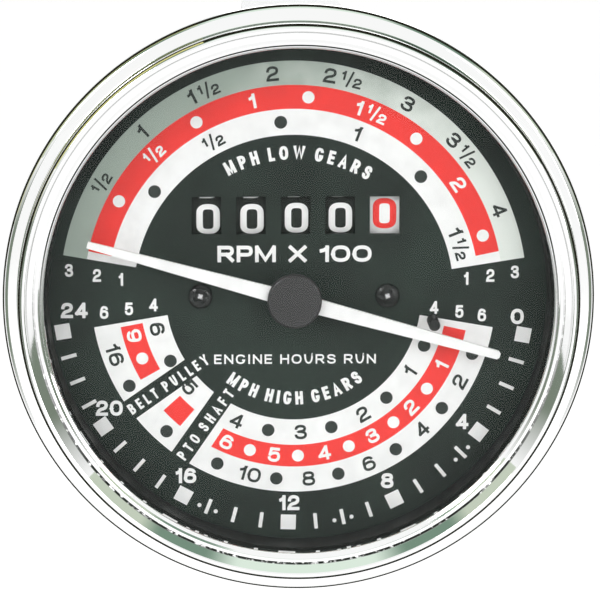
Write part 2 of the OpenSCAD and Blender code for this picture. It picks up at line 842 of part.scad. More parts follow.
// Open spring clips in the grooves of both counter shafts.
module clip(r, y, z, x) {
    difference() {
        tube_x(r + 1.4, r - 0.3 + seat, y, z, x, x + clip_t);
        slab([x - past, y - r + 0.35, z], [x + clip_t + past, y + r - 0.35, z + r + 3]);
    }
}

module shaft_clips() {
    color("dimgray") stand_up() for (x = [left_plate_x - clip_gap - clip_t,
                                          right_plate_x + counter_plate_t + clip_gap]) {
        clip(drum_shaft_r, drum_y, drum_z, x);
        clip(carry_shaft_r, carry_y, carry_z, x);
    }
}

module counter_wheel() {
    hub_left = drum_x(0) + rim_w / 2 + 0.05;
    color("goldenrod") stand_up() translate([0, drum_y, drum_z]) rotate([0, 90, 0])
        difference() {
            union() {
                translate([0, 0, lay_x - wheel_w / 2]) rotate([0, 0, -90])
                    linear_extrude(height = wheel_w)
                        polygon(gear_points(counter_teeth, counter_module, tooth_share));
                rod(3, hub_left, lay_x + wheel_w / 2 + 0.3);
            }
            rod(drum_shaft_r + run, hub_left - past, lay_x + wheel_w + past);
        }
}

// A number drum. On its right is the ring of teeth that a pinion turns, and on its left the
// disc with two teeth that moves the next pinion on, once a turn.
module drum(place) {
    half = rim_w / 2;
    has_ring = place > 0;
    has_disc = place < 4;
    hub_r = 2.6;
    notch_a = 180;
    translate([drum_x(place), drum_y, drum_z]) rotate([0, 90, 0]) rotate([0, 0, 180 - carry_angle])
        difference() {
            union() {
                rod(drum_r, -half, half);
                if (has_ring) translate([0, 0, half]) linear_extrude(height = gear_w)
                    polygon(gear_points(ring_teeth, carry_module, tooth_share));
                if (has_disc) {
                    rod(lock_disc_r, -half - gear_w, -half);
                    for (a = [-9, 9]) rotate([0, 0, notch_a + a]) slab(
                        [lock_disc_r - 2, -0.5, -half - gear_w],
                        [lock_disc_r + 0.8, 0.5, -half]);
                }
            }
            if (has_disc) rotate([0, 0, notch_a]) slab(
                [ring_gear_r - 1, -0.7, -half - gear_w - past], [drum_r, 0.7, -half]);
            difference() {
                rod(ring_gear_r - 1.9, half - 4.8, half + gear_w + past);
                rod(hub_r, half - 5, half + gear_w + 2 * past);
            }
            rod(drum_shaft_r + run, -half - gear_w - past, half + gear_w + past);
        }
}

module drum_tenths() {
    color("white") stand_up() drum(0);
}

module drum_units() {
    color("#1a1a1a") stand_up() drum(1);
}

module drum_tens() {
    color("#1a1a1a") stand_up() drum(2);
}

module drum_hundreds() {
    color("#1a1a1a") stand_up() drum(3);
}

module drum_thousands() {
    color("#1a1a1a") stand_up() drum(4);
}

// A carry pinion in the gap between two drums: eight teeth on the slower drum's side, and four
// of them, at 45 degrees to the line of centres, run on over the faster drum's disc.
module carry_pinion(place) {
    side_gap = 0.12;
    left = drum_x(place) + rim_w / 2 + side_gap;
    middle = left + gear_w;
    right = drum_x(place - 1) - rim_w / 2 - side_gap;
    turn = 180 / pinion_teeth;
    color("gainsboro") stand_up() translate([0, carry_y, carry_z]) rotate([0, 90, 0])
        rotate([0, 0, -carry_angle]) difference() {
            union() {
                translate([0, 0, left]) linear_extrude(height = middle - left)
                    rotate([0, 0, turn])
                        polygon(gear_points(pinion_teeth, carry_module, tooth_share));
                translate([0, 0, middle]) linear_extrude(height = right - middle)
                    intersection() {
                        rotate([0, 0, turn])
                            polygon(gear_points(pinion_teeth, carry_module, tooth_share));
                        union() {
                            circle(r = pinion_gear_r - 0.9);
                            for (a = [45, 135]) rotate([0, 0, a])
                                square([3 * pinion_gear_r, 1.7], center = true);
                        }
                    }
            }
            rod(carry_shaft_r + run, left - past, right + past);
        }
}

module carry_pinion_1() {
    carry_pinion(1);
}

module carry_pinion_2() {
    carry_pinion(2);
}

module carry_pinion_3() {
    carry_pinion(3);
}

module carry_pinion_4() {
    carry_pinion(4);
}

// The threaded nipple that the drive cable's nut screws on.
module drive_nipple() {
    color("silver") stand_up() difference() {
        union() {
            rod(nipple_r, nipple_end, case_back);
            rod(nipple_flange_r, case_back - nipple_flange_t, case_back);
            rod(spigot_r, case_back - 0.1, boss_front - 0.3);
        }
        rod(bush_r + seat, nipple_end - past, boss_front);
    }
}

module case_screws() {
    head_r = 3.2;
    head_h = 2;
    color("lightgray") stand_up() both_sides(screw_post_x, screw_post_y) difference() {
        union() {
            rod(head_r, case_back - head_h, case_back);
            rod(case_screw_r, case_back - 0.1, case_floor + case_screw_len);
        }
        slab([-head_r - past, -0.5, case_back - head_h - past],
            [head_r + past, 0.5, case_back - head_h + 1]);
    }
}

// Studs with a hexagon collar that clamps the case to the frame.
module mounting_studs() {
    color("silver") stand_up() top_and_bottom(stud_y) {
        rod(stud_r, strap_back - washer_t - nut_t - stud_tip, case_floor + stud_seat_len);
        translate([0, 0, strap_front]) cylinder(r = collar_r, h = collar_t, $fn = 6);
    }
}

// A rounded U seen from the side, with a given half height, depth and corner radius.
module u_shape(half, low, high, corner) {
    union() {
        translate([-half, low + corner]) square([2 * half, high - low - corner]);
        translate([-half + corner, low]) square([2 * (half - corner), corner + 0.1]);
        for (side = [-1, 1]) translate([side * (half - corner), low + corner]) circle(r = corner);
    }
}

// The clamp: a strip bent over the case, whose two ends press on the back of the panel.
module clamp_bracket() {
    inner = case_r + strap_gap;
    color("lightslategray") stand_up() difference() {
        union() {
            rotate([90, 0, 90]) translate([0, 0, -strap_w / 2]) linear_extrude(height = strap_w)
                difference() {
                    u_shape(inner + strap_t, strap_back, -panel_t, 3);
                    u_shape(inner, strap_front, 0, 3 - strap_t);
                }
            rod(strap_disc_r, strap_back, strap_front);
        }
        rod(nipple_flange_r + 1, strap_back - past, strap_front + past);
        top_and_bottom(stud_y) rod(stud_r + 0.3, strap_back - past, strap_front + past);
    }
}

module spring_washers() {
    back = strap_back - washer_t;
    color("gray") stand_up() top_and_bottom(stud_y) difference() {
        tube(stud_r + 2.1, stud_r + 0.2, back, strap_back);
        slab([0, -0.5, back - past], [stud_r + 4, 0.5, strap_back + past]);
    }
}

module knurled_nuts() {
    flutes = 24;
    back = strap_back - washer_t - nut_t;
    color("gainsboro") stand_up() top_and_bottom(stud_y) difference() {
        union() {
            translate([0, 0, back]) linear_extrude(height = nut_t - 1.5) polygon([
                for (i = [0:2 * flutes - 1]) let (r = nut_r - 0.35 * (i % 2), a = i * 180 / flutes)
                    [r * cos(a), r * sin(a)]
            ]);
            rod(nut_r - 1.2, back + nut_t - 1.6, back + nut_t);
        }
        rod(stud_r + seat, back - past, back + nut_t + past);
    }
}

// Push-in lamp holders with a terminal tab behind.
module lamp_holders() {
    body_front = case_floor + holder_len;
    tab_back = case_back - tab_len;
    color("whitesmoke") stand_up() both_sides(lamp_x, lamp_y) difference() {
        union() {
            rod(holder_r, case_back - 0.1, body_front);
            rod(holder_flange_r, case_back - 1.5, case_back);
            slab([-3.1, -0.4, tab_back], [3.1, 0.4, case_back - 1.4]);
        }
        rod(bulb_r + 0.3, case_floor + holder_floor, body_front + past);
    }
}

module bulb_caps() {
    color("gold") stand_up() both_sides(lamp_x, lamp_y)
        tube(bulb_r + 0.25, bulb_r - 0.25, case_floor + holder_floor, case_floor + cap_len);
}

module lamp_bulbs() {
    neck_front = case_floor + cap_len;
    dome_front = neck_front + 3;
    color([0.95, 0.95, 0.85, 0.5]) stand_up() both_sides(lamp_x, lamp_y) {
        rod(bulb_r - 0.27, case_floor + holder_floor + 1, neck_front);
        rod(bulb_r, neck_front, dome_front);
        translate([0, 0, dome_front]) sphere(r = bulb_r);
    }
}

case_can();
bezel();
glass();
glass_seal();
spacer_ring();
dial_plate();
dial_screws();
dial_spacers();
pointer();
pointer_cap();
pointer_staff();
drag_cup();
hairspring_collet();
hairspring();
front_bridge();
front_bush();
stop_pins();
regulator_lever();
field_cup();
magnet();
staff_jewel();
drive_spindle();
spindle_worm();
spindle_bushes();
thrust_washer();
oil_felt();
cross_shaft();
cross_wheel();
cross_worm();
cross_bushes();
layshaft();
lay_wheel();
lay_worm();
lay_bushes();
movement_frame();
lower_pillars();
upper_pillars();
counter_frame();
drum_shaft();
carry_shaft();
shaft_clips();
counter_wheel();
drum_tenths();
drum_units();
drum_tens();
drum_hundreds();
drum_thousands();
carry_pinion_1();
carry_pinion_2();
carry_pinion_3();
carry_pinion_4();
drive_nipple();
case_screws();
mounting_studs();
clamp_bracket();
spring_washers();
knurled_nuts();
lamp_holders();
lamp_bulbs();
bulb_caps();
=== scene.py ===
"""Tractor tachometer: dial print, number drums, chrome bezel, materials, lights and camera."""
import json
import math
from collections import namedtuple

import bmesh
import bpy
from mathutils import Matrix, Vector
from mathutils.geometry import delaunay_2d_cdt


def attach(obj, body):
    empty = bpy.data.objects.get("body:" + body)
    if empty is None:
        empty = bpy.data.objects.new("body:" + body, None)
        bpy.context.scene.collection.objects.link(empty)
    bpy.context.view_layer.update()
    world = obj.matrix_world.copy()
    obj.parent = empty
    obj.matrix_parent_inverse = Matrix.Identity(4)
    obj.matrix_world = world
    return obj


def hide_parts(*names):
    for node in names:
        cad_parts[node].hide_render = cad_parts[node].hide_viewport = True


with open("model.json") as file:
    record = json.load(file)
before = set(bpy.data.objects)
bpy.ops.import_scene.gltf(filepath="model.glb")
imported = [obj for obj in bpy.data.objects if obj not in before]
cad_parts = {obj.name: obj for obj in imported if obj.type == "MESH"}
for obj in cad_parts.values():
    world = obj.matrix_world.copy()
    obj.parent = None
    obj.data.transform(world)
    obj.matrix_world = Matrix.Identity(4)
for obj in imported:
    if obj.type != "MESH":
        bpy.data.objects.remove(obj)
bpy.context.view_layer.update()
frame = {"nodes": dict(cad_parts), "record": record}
nodes = frame["nodes"]

MM = 0.001

# Places in the dial's own frame, in millimetres: x right, y up, z from the panel towards the
# driver. RING_X is the bezel's axis, and PRINT_X and PRINT_Y are the middle of the print.
RING_X = 0.8
DIAL_FACE = -4.6
PRINT_X = -0.03
PRINT_Y = 0.38
DRUM_R = 10.8
DRUM_Y = 15.1
DRUM_Z = -16.7
DRUM_PITCH = 8.25
COUNTER_X = 0.3


def dial_point(x, y, z):
    """A point of the dial's frame in the part's frame, in metres."""
    return Vector((x, -z, y)) * MM


def add_object(name, data):
    """A new object in the scene."""
    thing = bpy.data.objects.new(name, data)
    bpy.context.scene.collection.objects.link(thing)
    return thing


# Camera

VIEW_AZIMUTH = -1.3
VIEW_ELEVATION = 9.16
VIEW_DISTANCE = 0.5
VIEW_TARGET = dial_point(1.02, 0.75, 0)
FOCAL_MM = 162.7
SENSOR_MM = 36
PHOTO_W = 600
PHOTO_H = 591


def view_direction():
    """From the target towards the camera."""
    az = math.radians(VIEW_AZIMUTH)
    el = math.radians(VIEW_ELEVATION)
    return Vector((math.sin(az) * math.cos(el), -math.cos(az) * math.cos(el), math.sin(el)))


def add_camera():
    towards = view_direction()
    data = bpy.data.cameras.new("camera")
    data.lens = FOCAL_MM
    data.sensor_width = SENSOR_MM
    data.clip_start = 0.01
    camera = add_object("camera", data)
    camera.location = VIEW_TARGET + VIEW_DISTANCE * towards
    camera.rotation_euler = (-towards).to_track_quat("-Z", "Y").to_euler()
    bpy.context.scene.camera = camera


# Materials


class Nodes:
    """A node tree, with short ways to add and link its nodes."""

    def __init__(self, tree):
        self.tree = tree

    def add(self, kind, **values):
        node = self.tree.nodes.new(kind)
        for key, value in values.items():
            setattr(node, key, value)
        return node

    def link(self, start, end):
        self.tree.links.new(start, end)

    def place(self):
        """Where a point lies on its object, in metres."""
        return self.add("ShaderNodeTexCoord").outputs["Object"]

    def axes(self):
        """The X, Y and Z of a point's place."""
        parts = self.add("ShaderNodeSeparateXYZ")
        self.link(self.place(), parts.inputs["Vector"])
        return parts.outputs

    def ramp(self, value, low, high, start=0.35, end=0.65):
        """Maps the range from start to end, by default that of noise, to the range from low to high."""
        node = self.add("ShaderNodeMapRange")
        node.inputs["From Min"].default_value = start
        node.inputs["From Max"].default_value = end
        node.inputs["To Min"].default_value = low
        node.inputs["To Max"].default_value = high
        self.link(value, node.inputs["Value"])
        return node.outputs["Result"]

    def maths(self, operation, first, second=None):
        """A value worked out from sockets and numbers."""
        node = self.add("ShaderNodeMath", operation=operation)
        for place, value in enumerate((first, second)):
            if isinstance(value, (int, float)):
                node.inputs[place].default_value = value
            elif value is not None:
                self.link(value, node.inputs[place])
        return node.outputs["Value"]

    def mix_shaders(self, factor, first, second):
        """The first shader where the factor is 0 and the second where it is 1."""
        mix = self.add("ShaderNodeMixShader")
        self.link(factor, mix.inputs["Fac"])
        self.link(first, mix.inputs[1])
        self.link(second, mix.inputs[2])
        return mix.outputs["Shader"]

    def show(self, shader, output="Material Output"):
        """Makes a shader the surface of the material or world."""
        self.link(shader, self.tree.nodes[output].inputs["Surface"])


class Shader(Nodes):
    """A principled material with noise that varies its colour, roughness and surface."""

    def __init__(self, name, colour, rough, metal=0.0, coat=0.0, specular=0.5):
        self.material = bpy.data.materials.new(name)
        self.material.use_nodes = True
        super().__init__(self.material.node_tree)
        self.bsdf = self.tree.nodes["Principled BSDF"]
        self.set("Base Color", (*colour, 1))
        self.set("Roughness", rough)
        self.set("Metallic", metal)
        self.set("Coat Weight", coat)
        self.set("Specular IOR Level", specular)
        self.colour = colour
        self.rough = rough

    def set(self, socket, value):
        self.bsdf.inputs[socket].default_value = value

    def drive(self, socket, value):
        self.link(value, self.bsdf.inputs[socket])

    def noise(self, size, detail=4.0):
        """Noise whose features are about size millimetres across."""
        texture = self.add("ShaderNodeTexNoise")
        texture.inputs["Scale"].default_value = 1 / (size * MM)
        texture.inputs["Detail"].default_value = detail
        self.link(self.place(), texture.inputs["Vector"])
        return texture.outputs["Fac"]

    def mix_colours(self, first, second, factor):
        """Gives the surface the first colour where the factor is 0 and the second where it is 1."""
        mix = self.add("ShaderNodeMix", data_type="RGBA")
        mix.inputs["A"].default_value = (*first, 1)
        mix.inputs["B"].default_value = (*second, 1)
        self.link(factor, mix.inputs["Factor"])
        self.drive("Base Color", mix.outputs["Result"])

    def vary_colour(self, size, amount):
        """Colour that drifts between two near shades."""
        darker = [c * (1 - amount) for c in self.colour]
        lighter = [min(1, c * (1 + amount)) for c in self.colour]
        self.mix_colours(darker, lighter, self.ramp(self.noise(size), 0, 1))
        return self

    def vary_roughness(self, size, amount):
        self.drive("Roughness", self.ramp(self.noise(size), self.rough - amount, self.rough + amount))
        return self

    def grain(self, size, depth):
        """Bump of the given feature size and depth in millimetres."""
        bump = self.add("ShaderNodeBump")
        bump.inputs["Strength"].default_value = 1
        bump.inputs["Distance"].default_value = depth * MM
        self.link(self.noise(size), bump.inputs["Height"])
        self.drive("Normal", bump.outputs["Normal"])
        return self


def paint(name, colour, rough=0.5):
    shader = Shader(name, colour, rough, specular=0.4)
    return shader.vary_colour(3, 0.04).vary_roughness(1.5, 0.06).grain(0.25, 0.004).material


def metal(name, colour, rough, depth=0.003):
    shader = Shader(name, colour, rough, metal=1)
    return shader.vary_colour(4, 0.06).vary_roughness(0.8, rough * 0.3).grain(0.3, depth).material


def plastic(name, colour, rough=0.45, specular=0.5):
    shader = Shader(name, colour, rough, specular=specular)
    return shader.vary_colour(5, 0.03).vary_roughness(2, 0.05).grain(0.4, 0.004).material


def glass_material(name, tint=(1, 1, 1), shine=1.0):
    """Clear glass that lets the lamps through to what is behind it."""
    shader = Shader(name, tint, 0.0)
    shader.set("Specular Tint", (shine, shine, shine, 1))
    shader.set("Transmission Weight", 1)
    shader.set("IOR", 1.45)
    shader.drive("Roughness", shader.ramp(shader.noise(8), 0, 0.01))
    shadow = shader.add("ShaderNodeLightPath").outputs["Is Shadow Ray"]
    clear = shader.add("ShaderNodeBsdfTransparent")
    shader.show(shader.mix_shaders(shadow, shader.bsdf.outputs["BSDF"], clear.outputs["BSDF"]))
    return shader.material


# Dark lines round the bezel, by radius and width in millimetres: grime specks with painted shade in the
# groove, and painted shade and painted reflections along the lip and slope. The last two are fainter, by
# their shares.
# A line is dark over its core and fades out at its edges.
GROOVE_LINE = (48.35, 0.55)
LIP_LINE = (47.2, 0.34)
EDGE_LINE = (46.8, 0.36)
EDGE_SHARE = 0.5
SLOPE_LINE = (49.65, 0.34)
SLOPE_SHARE = 0.4
LINE_CORE = 0.3
# Heights in metres: below the first pair lies the groove's grime and painted shade, above the second the
# painted shade on the lip.
DIRT_AND_SHADE_FADE = (-0.03, 0.01)
LIP_SHADE_FADE = (-0.012, 0.012)
SPECK_SIZE = 0.9
SPECK_DETAIL = 8
SPECK_RANGE = (0.34, 0.47)
# Colour and roughness of the grime and of the painted shade and painted reflections.
DIRT_AND_SHADE_COLOUR = (0.02, 0.024, 0.02)
DIRT_AND_SHADE_ROUGH = 0.5


def chrome_material():
    """Polished plate with faint waves, grime specks with painted shade in the lower half of its groove, and
    painted shade and painted reflections along its lip in the upper half.
    """
    shader = Shader("chrome_plate", (0.93, 0.935, 0.93), 0.03, metal=1)
    axes = shader.axes()
    across = shader.maths("SUBTRACT", axes["X"], RING_X * MM)
    square = shader.maths("ADD", shader.maths("MULTIPLY", across, across),
                          shader.maths("MULTIPLY", axes["Z"], axes["Z"]))
    radius = shader.maths("SQRT", square)

    def line(place, width):
        off = shader.maths("ABSOLUTE", shader.maths("SUBTRACT", radius, place * MM))
        return shader.ramp(off, 1, 0, width * LINE_CORE * MM, width / 2 * MM)

    lower = shader.ramp(axes["Z"], 1, 0, *DIRT_AND_SHADE_FADE)
    upper = shader.ramp(axes["Z"], 0, 1, *LIP_SHADE_FADE)
    specks = shader.ramp(shader.noise(SPECK_SIZE, SPECK_DETAIL), 0, 1, *SPECK_RANGE)
    # Painted shade: the groove's specks darken the lower half and the lip, edge and slope lines darken the
    # upper half, standing in for shade and dark reflections.
    groove = shader.maths("MULTIPLY", shader.maths("MULTIPLY", line(*GROOVE_LINE), lower), specks)
    faint = shader.maths("MAXIMUM", shader.maths("MULTIPLY", line(*EDGE_LINE), EDGE_SHARE),
                         shader.maths("MULTIPLY", line(*SLOPE_LINE), SLOPE_SHARE))
    lip = shader.maths("MULTIPLY", shader.maths("MAXIMUM", line(*LIP_LINE), faint), upper)
    dirt_and_shade = shader.maths("MAXIMUM", groove, lip)
    shader.mix_colours(shader.colour, DIRT_AND_SHADE_COLOUR, dirt_and_shade)
    shader.drive("Roughness", shader.ramp(dirt_and_shade, shader.rough, DIRT_AND_SHADE_ROUGH, 0, 1))
    return shader.grain(3, 0.0012).material


WHITE = (0.92, 0.93, 0.92)
DIAL_BLACK = (0.014, 0.025, 0.019)
SHADED_SILVER = (0.36, 0.43, 0.375)
# Painted shade on the silver, from left to right in metres: where it starts to lift, and where the silver
# shows its own colour.
SILVER_SHADE_SPAN = (-0.012, 0.034)
SHADE_UNEVEN = 0.012


def dial_paint():
    shader = Shader("dial_black_paint", DIAL_BLACK, 0.55, specular=0.2)
    return shader.vary_colour(14, 0.25).vary_roughness(3, 0.05).grain(0.2, 0.004).material


def silver_ink():
    """Silver ink with painted shade: darker towards the left, in uneven clouds."""
    shader = Shader("ink_silver", (0.75, 0.8, 0.75), 0.45, metal=0.5)
    clouds = shader.ramp(shader.noise(9), -SHADE_UNEVEN, SHADE_UNEVEN)
    across = shader.maths("ADD", shader.axes()["X"], clouds)
    # Painted shade: the silver is darker towards the left.
    shader.mix_colours(SHADED_SILVER, shader.colour, shader.ramp(across, 0, 1, *SILVER_SHADE_SPAN))
    return shader.vary_roughness(1, 0.05).grain(0.12, 0.004).material


def case_enamel():
    shader = Shader("case_black_enamel", (0.03, 0.032, 0.034), 0.35, coat=0.2)
    return shader.vary_colour(6, 0.15).vary_roughness(2, 0.07).grain(0.5, 0.01).material


def oiled_felt():
    return Shader("oiled_felt", (0.5, 0.45, 0.33), 0.95).vary_colour(0.6, 0.3).grain(0.3, 0.1).material


materials = {
    "chrome": chrome_material(),
    "clear_glass": glass_material("front_glass", shine=0.2),
    "black_rubber": plastic("seal_rubber", (0.02, 0.02, 0.02), 0.7),
    "black_enamel": plastic("black_satin_enamel", (0.01, 0.013, 0.011), 0.5, 0.3),
    "dial_black": dial_paint(),
    "white_enamel": paint("pointer_white_enamel", WHITE, 0.45),
    "black_plastic": plastic("cap_black_plastic", (0.022, 0.023, 0.023), 0.4),
    "case_paint": case_enamel(),
    "zinc_plate": metal("zinc_plate", (0.72, 0.73, 0.74), 0.28),
    "steel": metal("turned_steel", (0.58, 0.58, 0.59), 0.25),
    "brass": metal("turned_brass", (0.75, 0.55, 0.23), 0.25),
    "aluminium": metal("spun_aluminium", (0.8, 0.81, 0.82), 0.3),
    "diecast": metal("cast_zinc", (0.55, 0.56, 0.57), 0.5, 0.02),
    "magnet_alloy": metal("magnet_alloy", (0.25, 0.26, 0.28), 0.5, 0.02),
    "felt": oiled_felt(),
    "ruby": glass_material("ruby_jewel", (0.6, 0.03, 0.08)),
    "drum_black": plastic("drum_black_plastic", (0.008, 0.014, 0.01), 0.6, 0.25),
    "drum_white": plastic("drum_white_plastic", WHITE, 0.45),
    "white_nylon": plastic("white_nylon", (0.74, 0.72, 0.64), 0.5),
    "bulb_glass": glass_material("bulb_glass", (0.98, 0.96, 0.9)),
    "ink_white": paint("ink_white", WHITE),
    "ink_red": paint("ink_red", (0.92, 0.036, 0.028)),
    "ink_silver": silver_ink(),
    "ink_black": paint("ink_black", DIAL_BLACK),
    "screw_enamel": plastic("screw_black_enamel", (0.004, 0.008, 0.006), 0.2, 0.45),
}


def dress_nodes():
    """Gives every CAD node the finish of its own slot."""
    for part in frame["record"]["subparts"]:
        piece = nodes[part["node"]]
        finish = materials[part["material_slot"]]
        if not piece.material_slots:
            piece.data.materials.append(finish)
        for place in piece.material_slots:
            place.material = finish


# Meshes

LEAST_AREA = 1e-5
MERGE_DISTANCE = 1e-4
INSIDE = 1
DOT_STEP = 12


class Solid:
    """Gathers closed slabs and lathed shells, and makes one object of them. A layer is a slab's
    two heights."""

    def __init__(self, name, finish, body="root", place=None):
        self.name = name
        self.finish = finish
        self.body = body
        self.place = place or dial_print
        self.points = []
        self.faces = []

    def slab(self, outline, layer):
        """A flat slab with a convex outline."""
        first = len(self.points)
        count = len(outline)
        for height in layer:
            self.points += [self.place(x, y, height) for x, y in outline]
        self.faces.append([first + count + i for i in range(count)])
        self.faces.append([first + i for i in reversed(range(count))])
        for i in range(count):
            j = (i + 1) % count
            self.faces.append([first + i, first + j, first + count + j, first + count + i])

    def ribbon(self, left, right, layer):
        """A slab between two lines with as many points each."""
        low, high = layer
        first = len(self.points)
        last = first + 4 * (len(left) - 1)
        for (ax, ay), (bx, by) in zip(left, right):
            self.points += [
                self.place(ax, ay, low), self.place(bx, by, low),
                self.place(bx, by, high), self.place(ax, ay, high)]
        for a in range(first, last, 4):
            for k in range(4):
                m = (k + 1) % 4
                self.faces.append([a + k, a + 4 + k, a + 4 + m, a + m])
        self.faces.append([first + k for k in range(4)])
        self.faces.append([last + k for k in reversed(range(4))])

    def fill(self, patches, layer):
        """One slab over the union of many small patches that overlap."""
        corners = []
        patch_corners = []
        for patch in patches:
            twice_area = sum(a[0] * b[1] - b[0] * a[1] for a, b in zip(patch, patch[1:] + patch[:1]))
            if abs(twice_area) < LEAST_AREA:
                continue
            patch_corners.append(list(range(len(corners), len(corners) + len(patch))))
            corners += patch if twice_area > 0 else patch[::-1]
        spots, _, triangles, _, _, owners = delaunay_2d_cdt(
            [Vector(corner) for corner in corners], [], patch_corners, INSIDE, MERGE_DISTANCE)
        kept = [triangle for triangle, owner in zip(triangles, owners) if owner]
        first = len(self.points)
        count = len(spots)
        for height in layer:
            self.points += [self.place(spot.x, spot.y, height) for spot in spots]
        sides = {(t[k], t[(k + 1) % 3]) for t in kept for k in range(3)}
        for triangle in kept:
            self.faces.append([first + count + i for i in triangle])
            self.faces.append([first + i for i in reversed(triangle)])
        for a, b in sorted(sides):
            if (b, a) not in sides:
                self.faces.append([first + a, first + b, first + count + b, first + count + a])

    def build(self, replaces=(), crease=None):
        """Makes the object. With a crease angle in degrees, flatter edges are shaded smooth."""
        mesh = bpy.data.meshes.new(self.name)
        mesh.from_pydata(self.points, [], self.faces)
        edit = bmesh.new()
        edit.from_mesh(mesh)
        loose = [vert for vert in edit.verts if not vert.link_faces]
        bmesh.ops.delete(edit, geom=loose, context="VERTS")
        bmesh.ops.recalc_face_normals(edit, faces=edit.faces)
        edit.to_mesh(mesh)
        edit.free()
        for face in mesh.polygons:
            face.use_smooth = bool(crease)
        if crease:
            mesh.set_sharp_from_angle(angle=math.radians(crease))
        mesh.materials.append(materials[self.finish])
        piece = add_object(self.name, mesh)
        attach(piece, self.body)
        if replaces:
            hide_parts(*replaces)


def dial_print(x, y, height):
    """A point of the print, with its height above the dial's face."""
    return dial_point(x + PRINT_X, y + PRINT_Y, DIAL_FACE + height)


def over_dial(x, y, height):
    """A point by its place from the pointer's axis and its height above the dial's face."""
    return dial_point(x, y, DIAL_FACE + height)


def polar(r, angle):
    return r * math.cos(math.radians(angle)), r * math.sin(math.radians(angle))


def turned(centre, x, y, turn):
    """The point (x, y) after a turn in degrees about the origin, moved by centre."""
    c, s = polar(1, turn)
    return centre[0] + x * c - y * s, centre[1] + x * s + y * c


def bar(centre, turn, length, width):
    """The corners of a turned rectangle."""
    signs = [(-1, -1), (1, -1), (1, 1), (-1, 1)]
    return [turned(centre, a * length / 2, b * width / 2, turn) for a, b in signs]


def dot(solid, r, angle, size, layer):
    x, y = polar(r, angle)
    solid.slab([(x + u, y + v) for u, v in (polar(size / 2, a) for a in range(0, 360, DOT_STEP))], layer)


# Lettering. A letter has its width as a share of its height, and strokes in a box of unit sides.

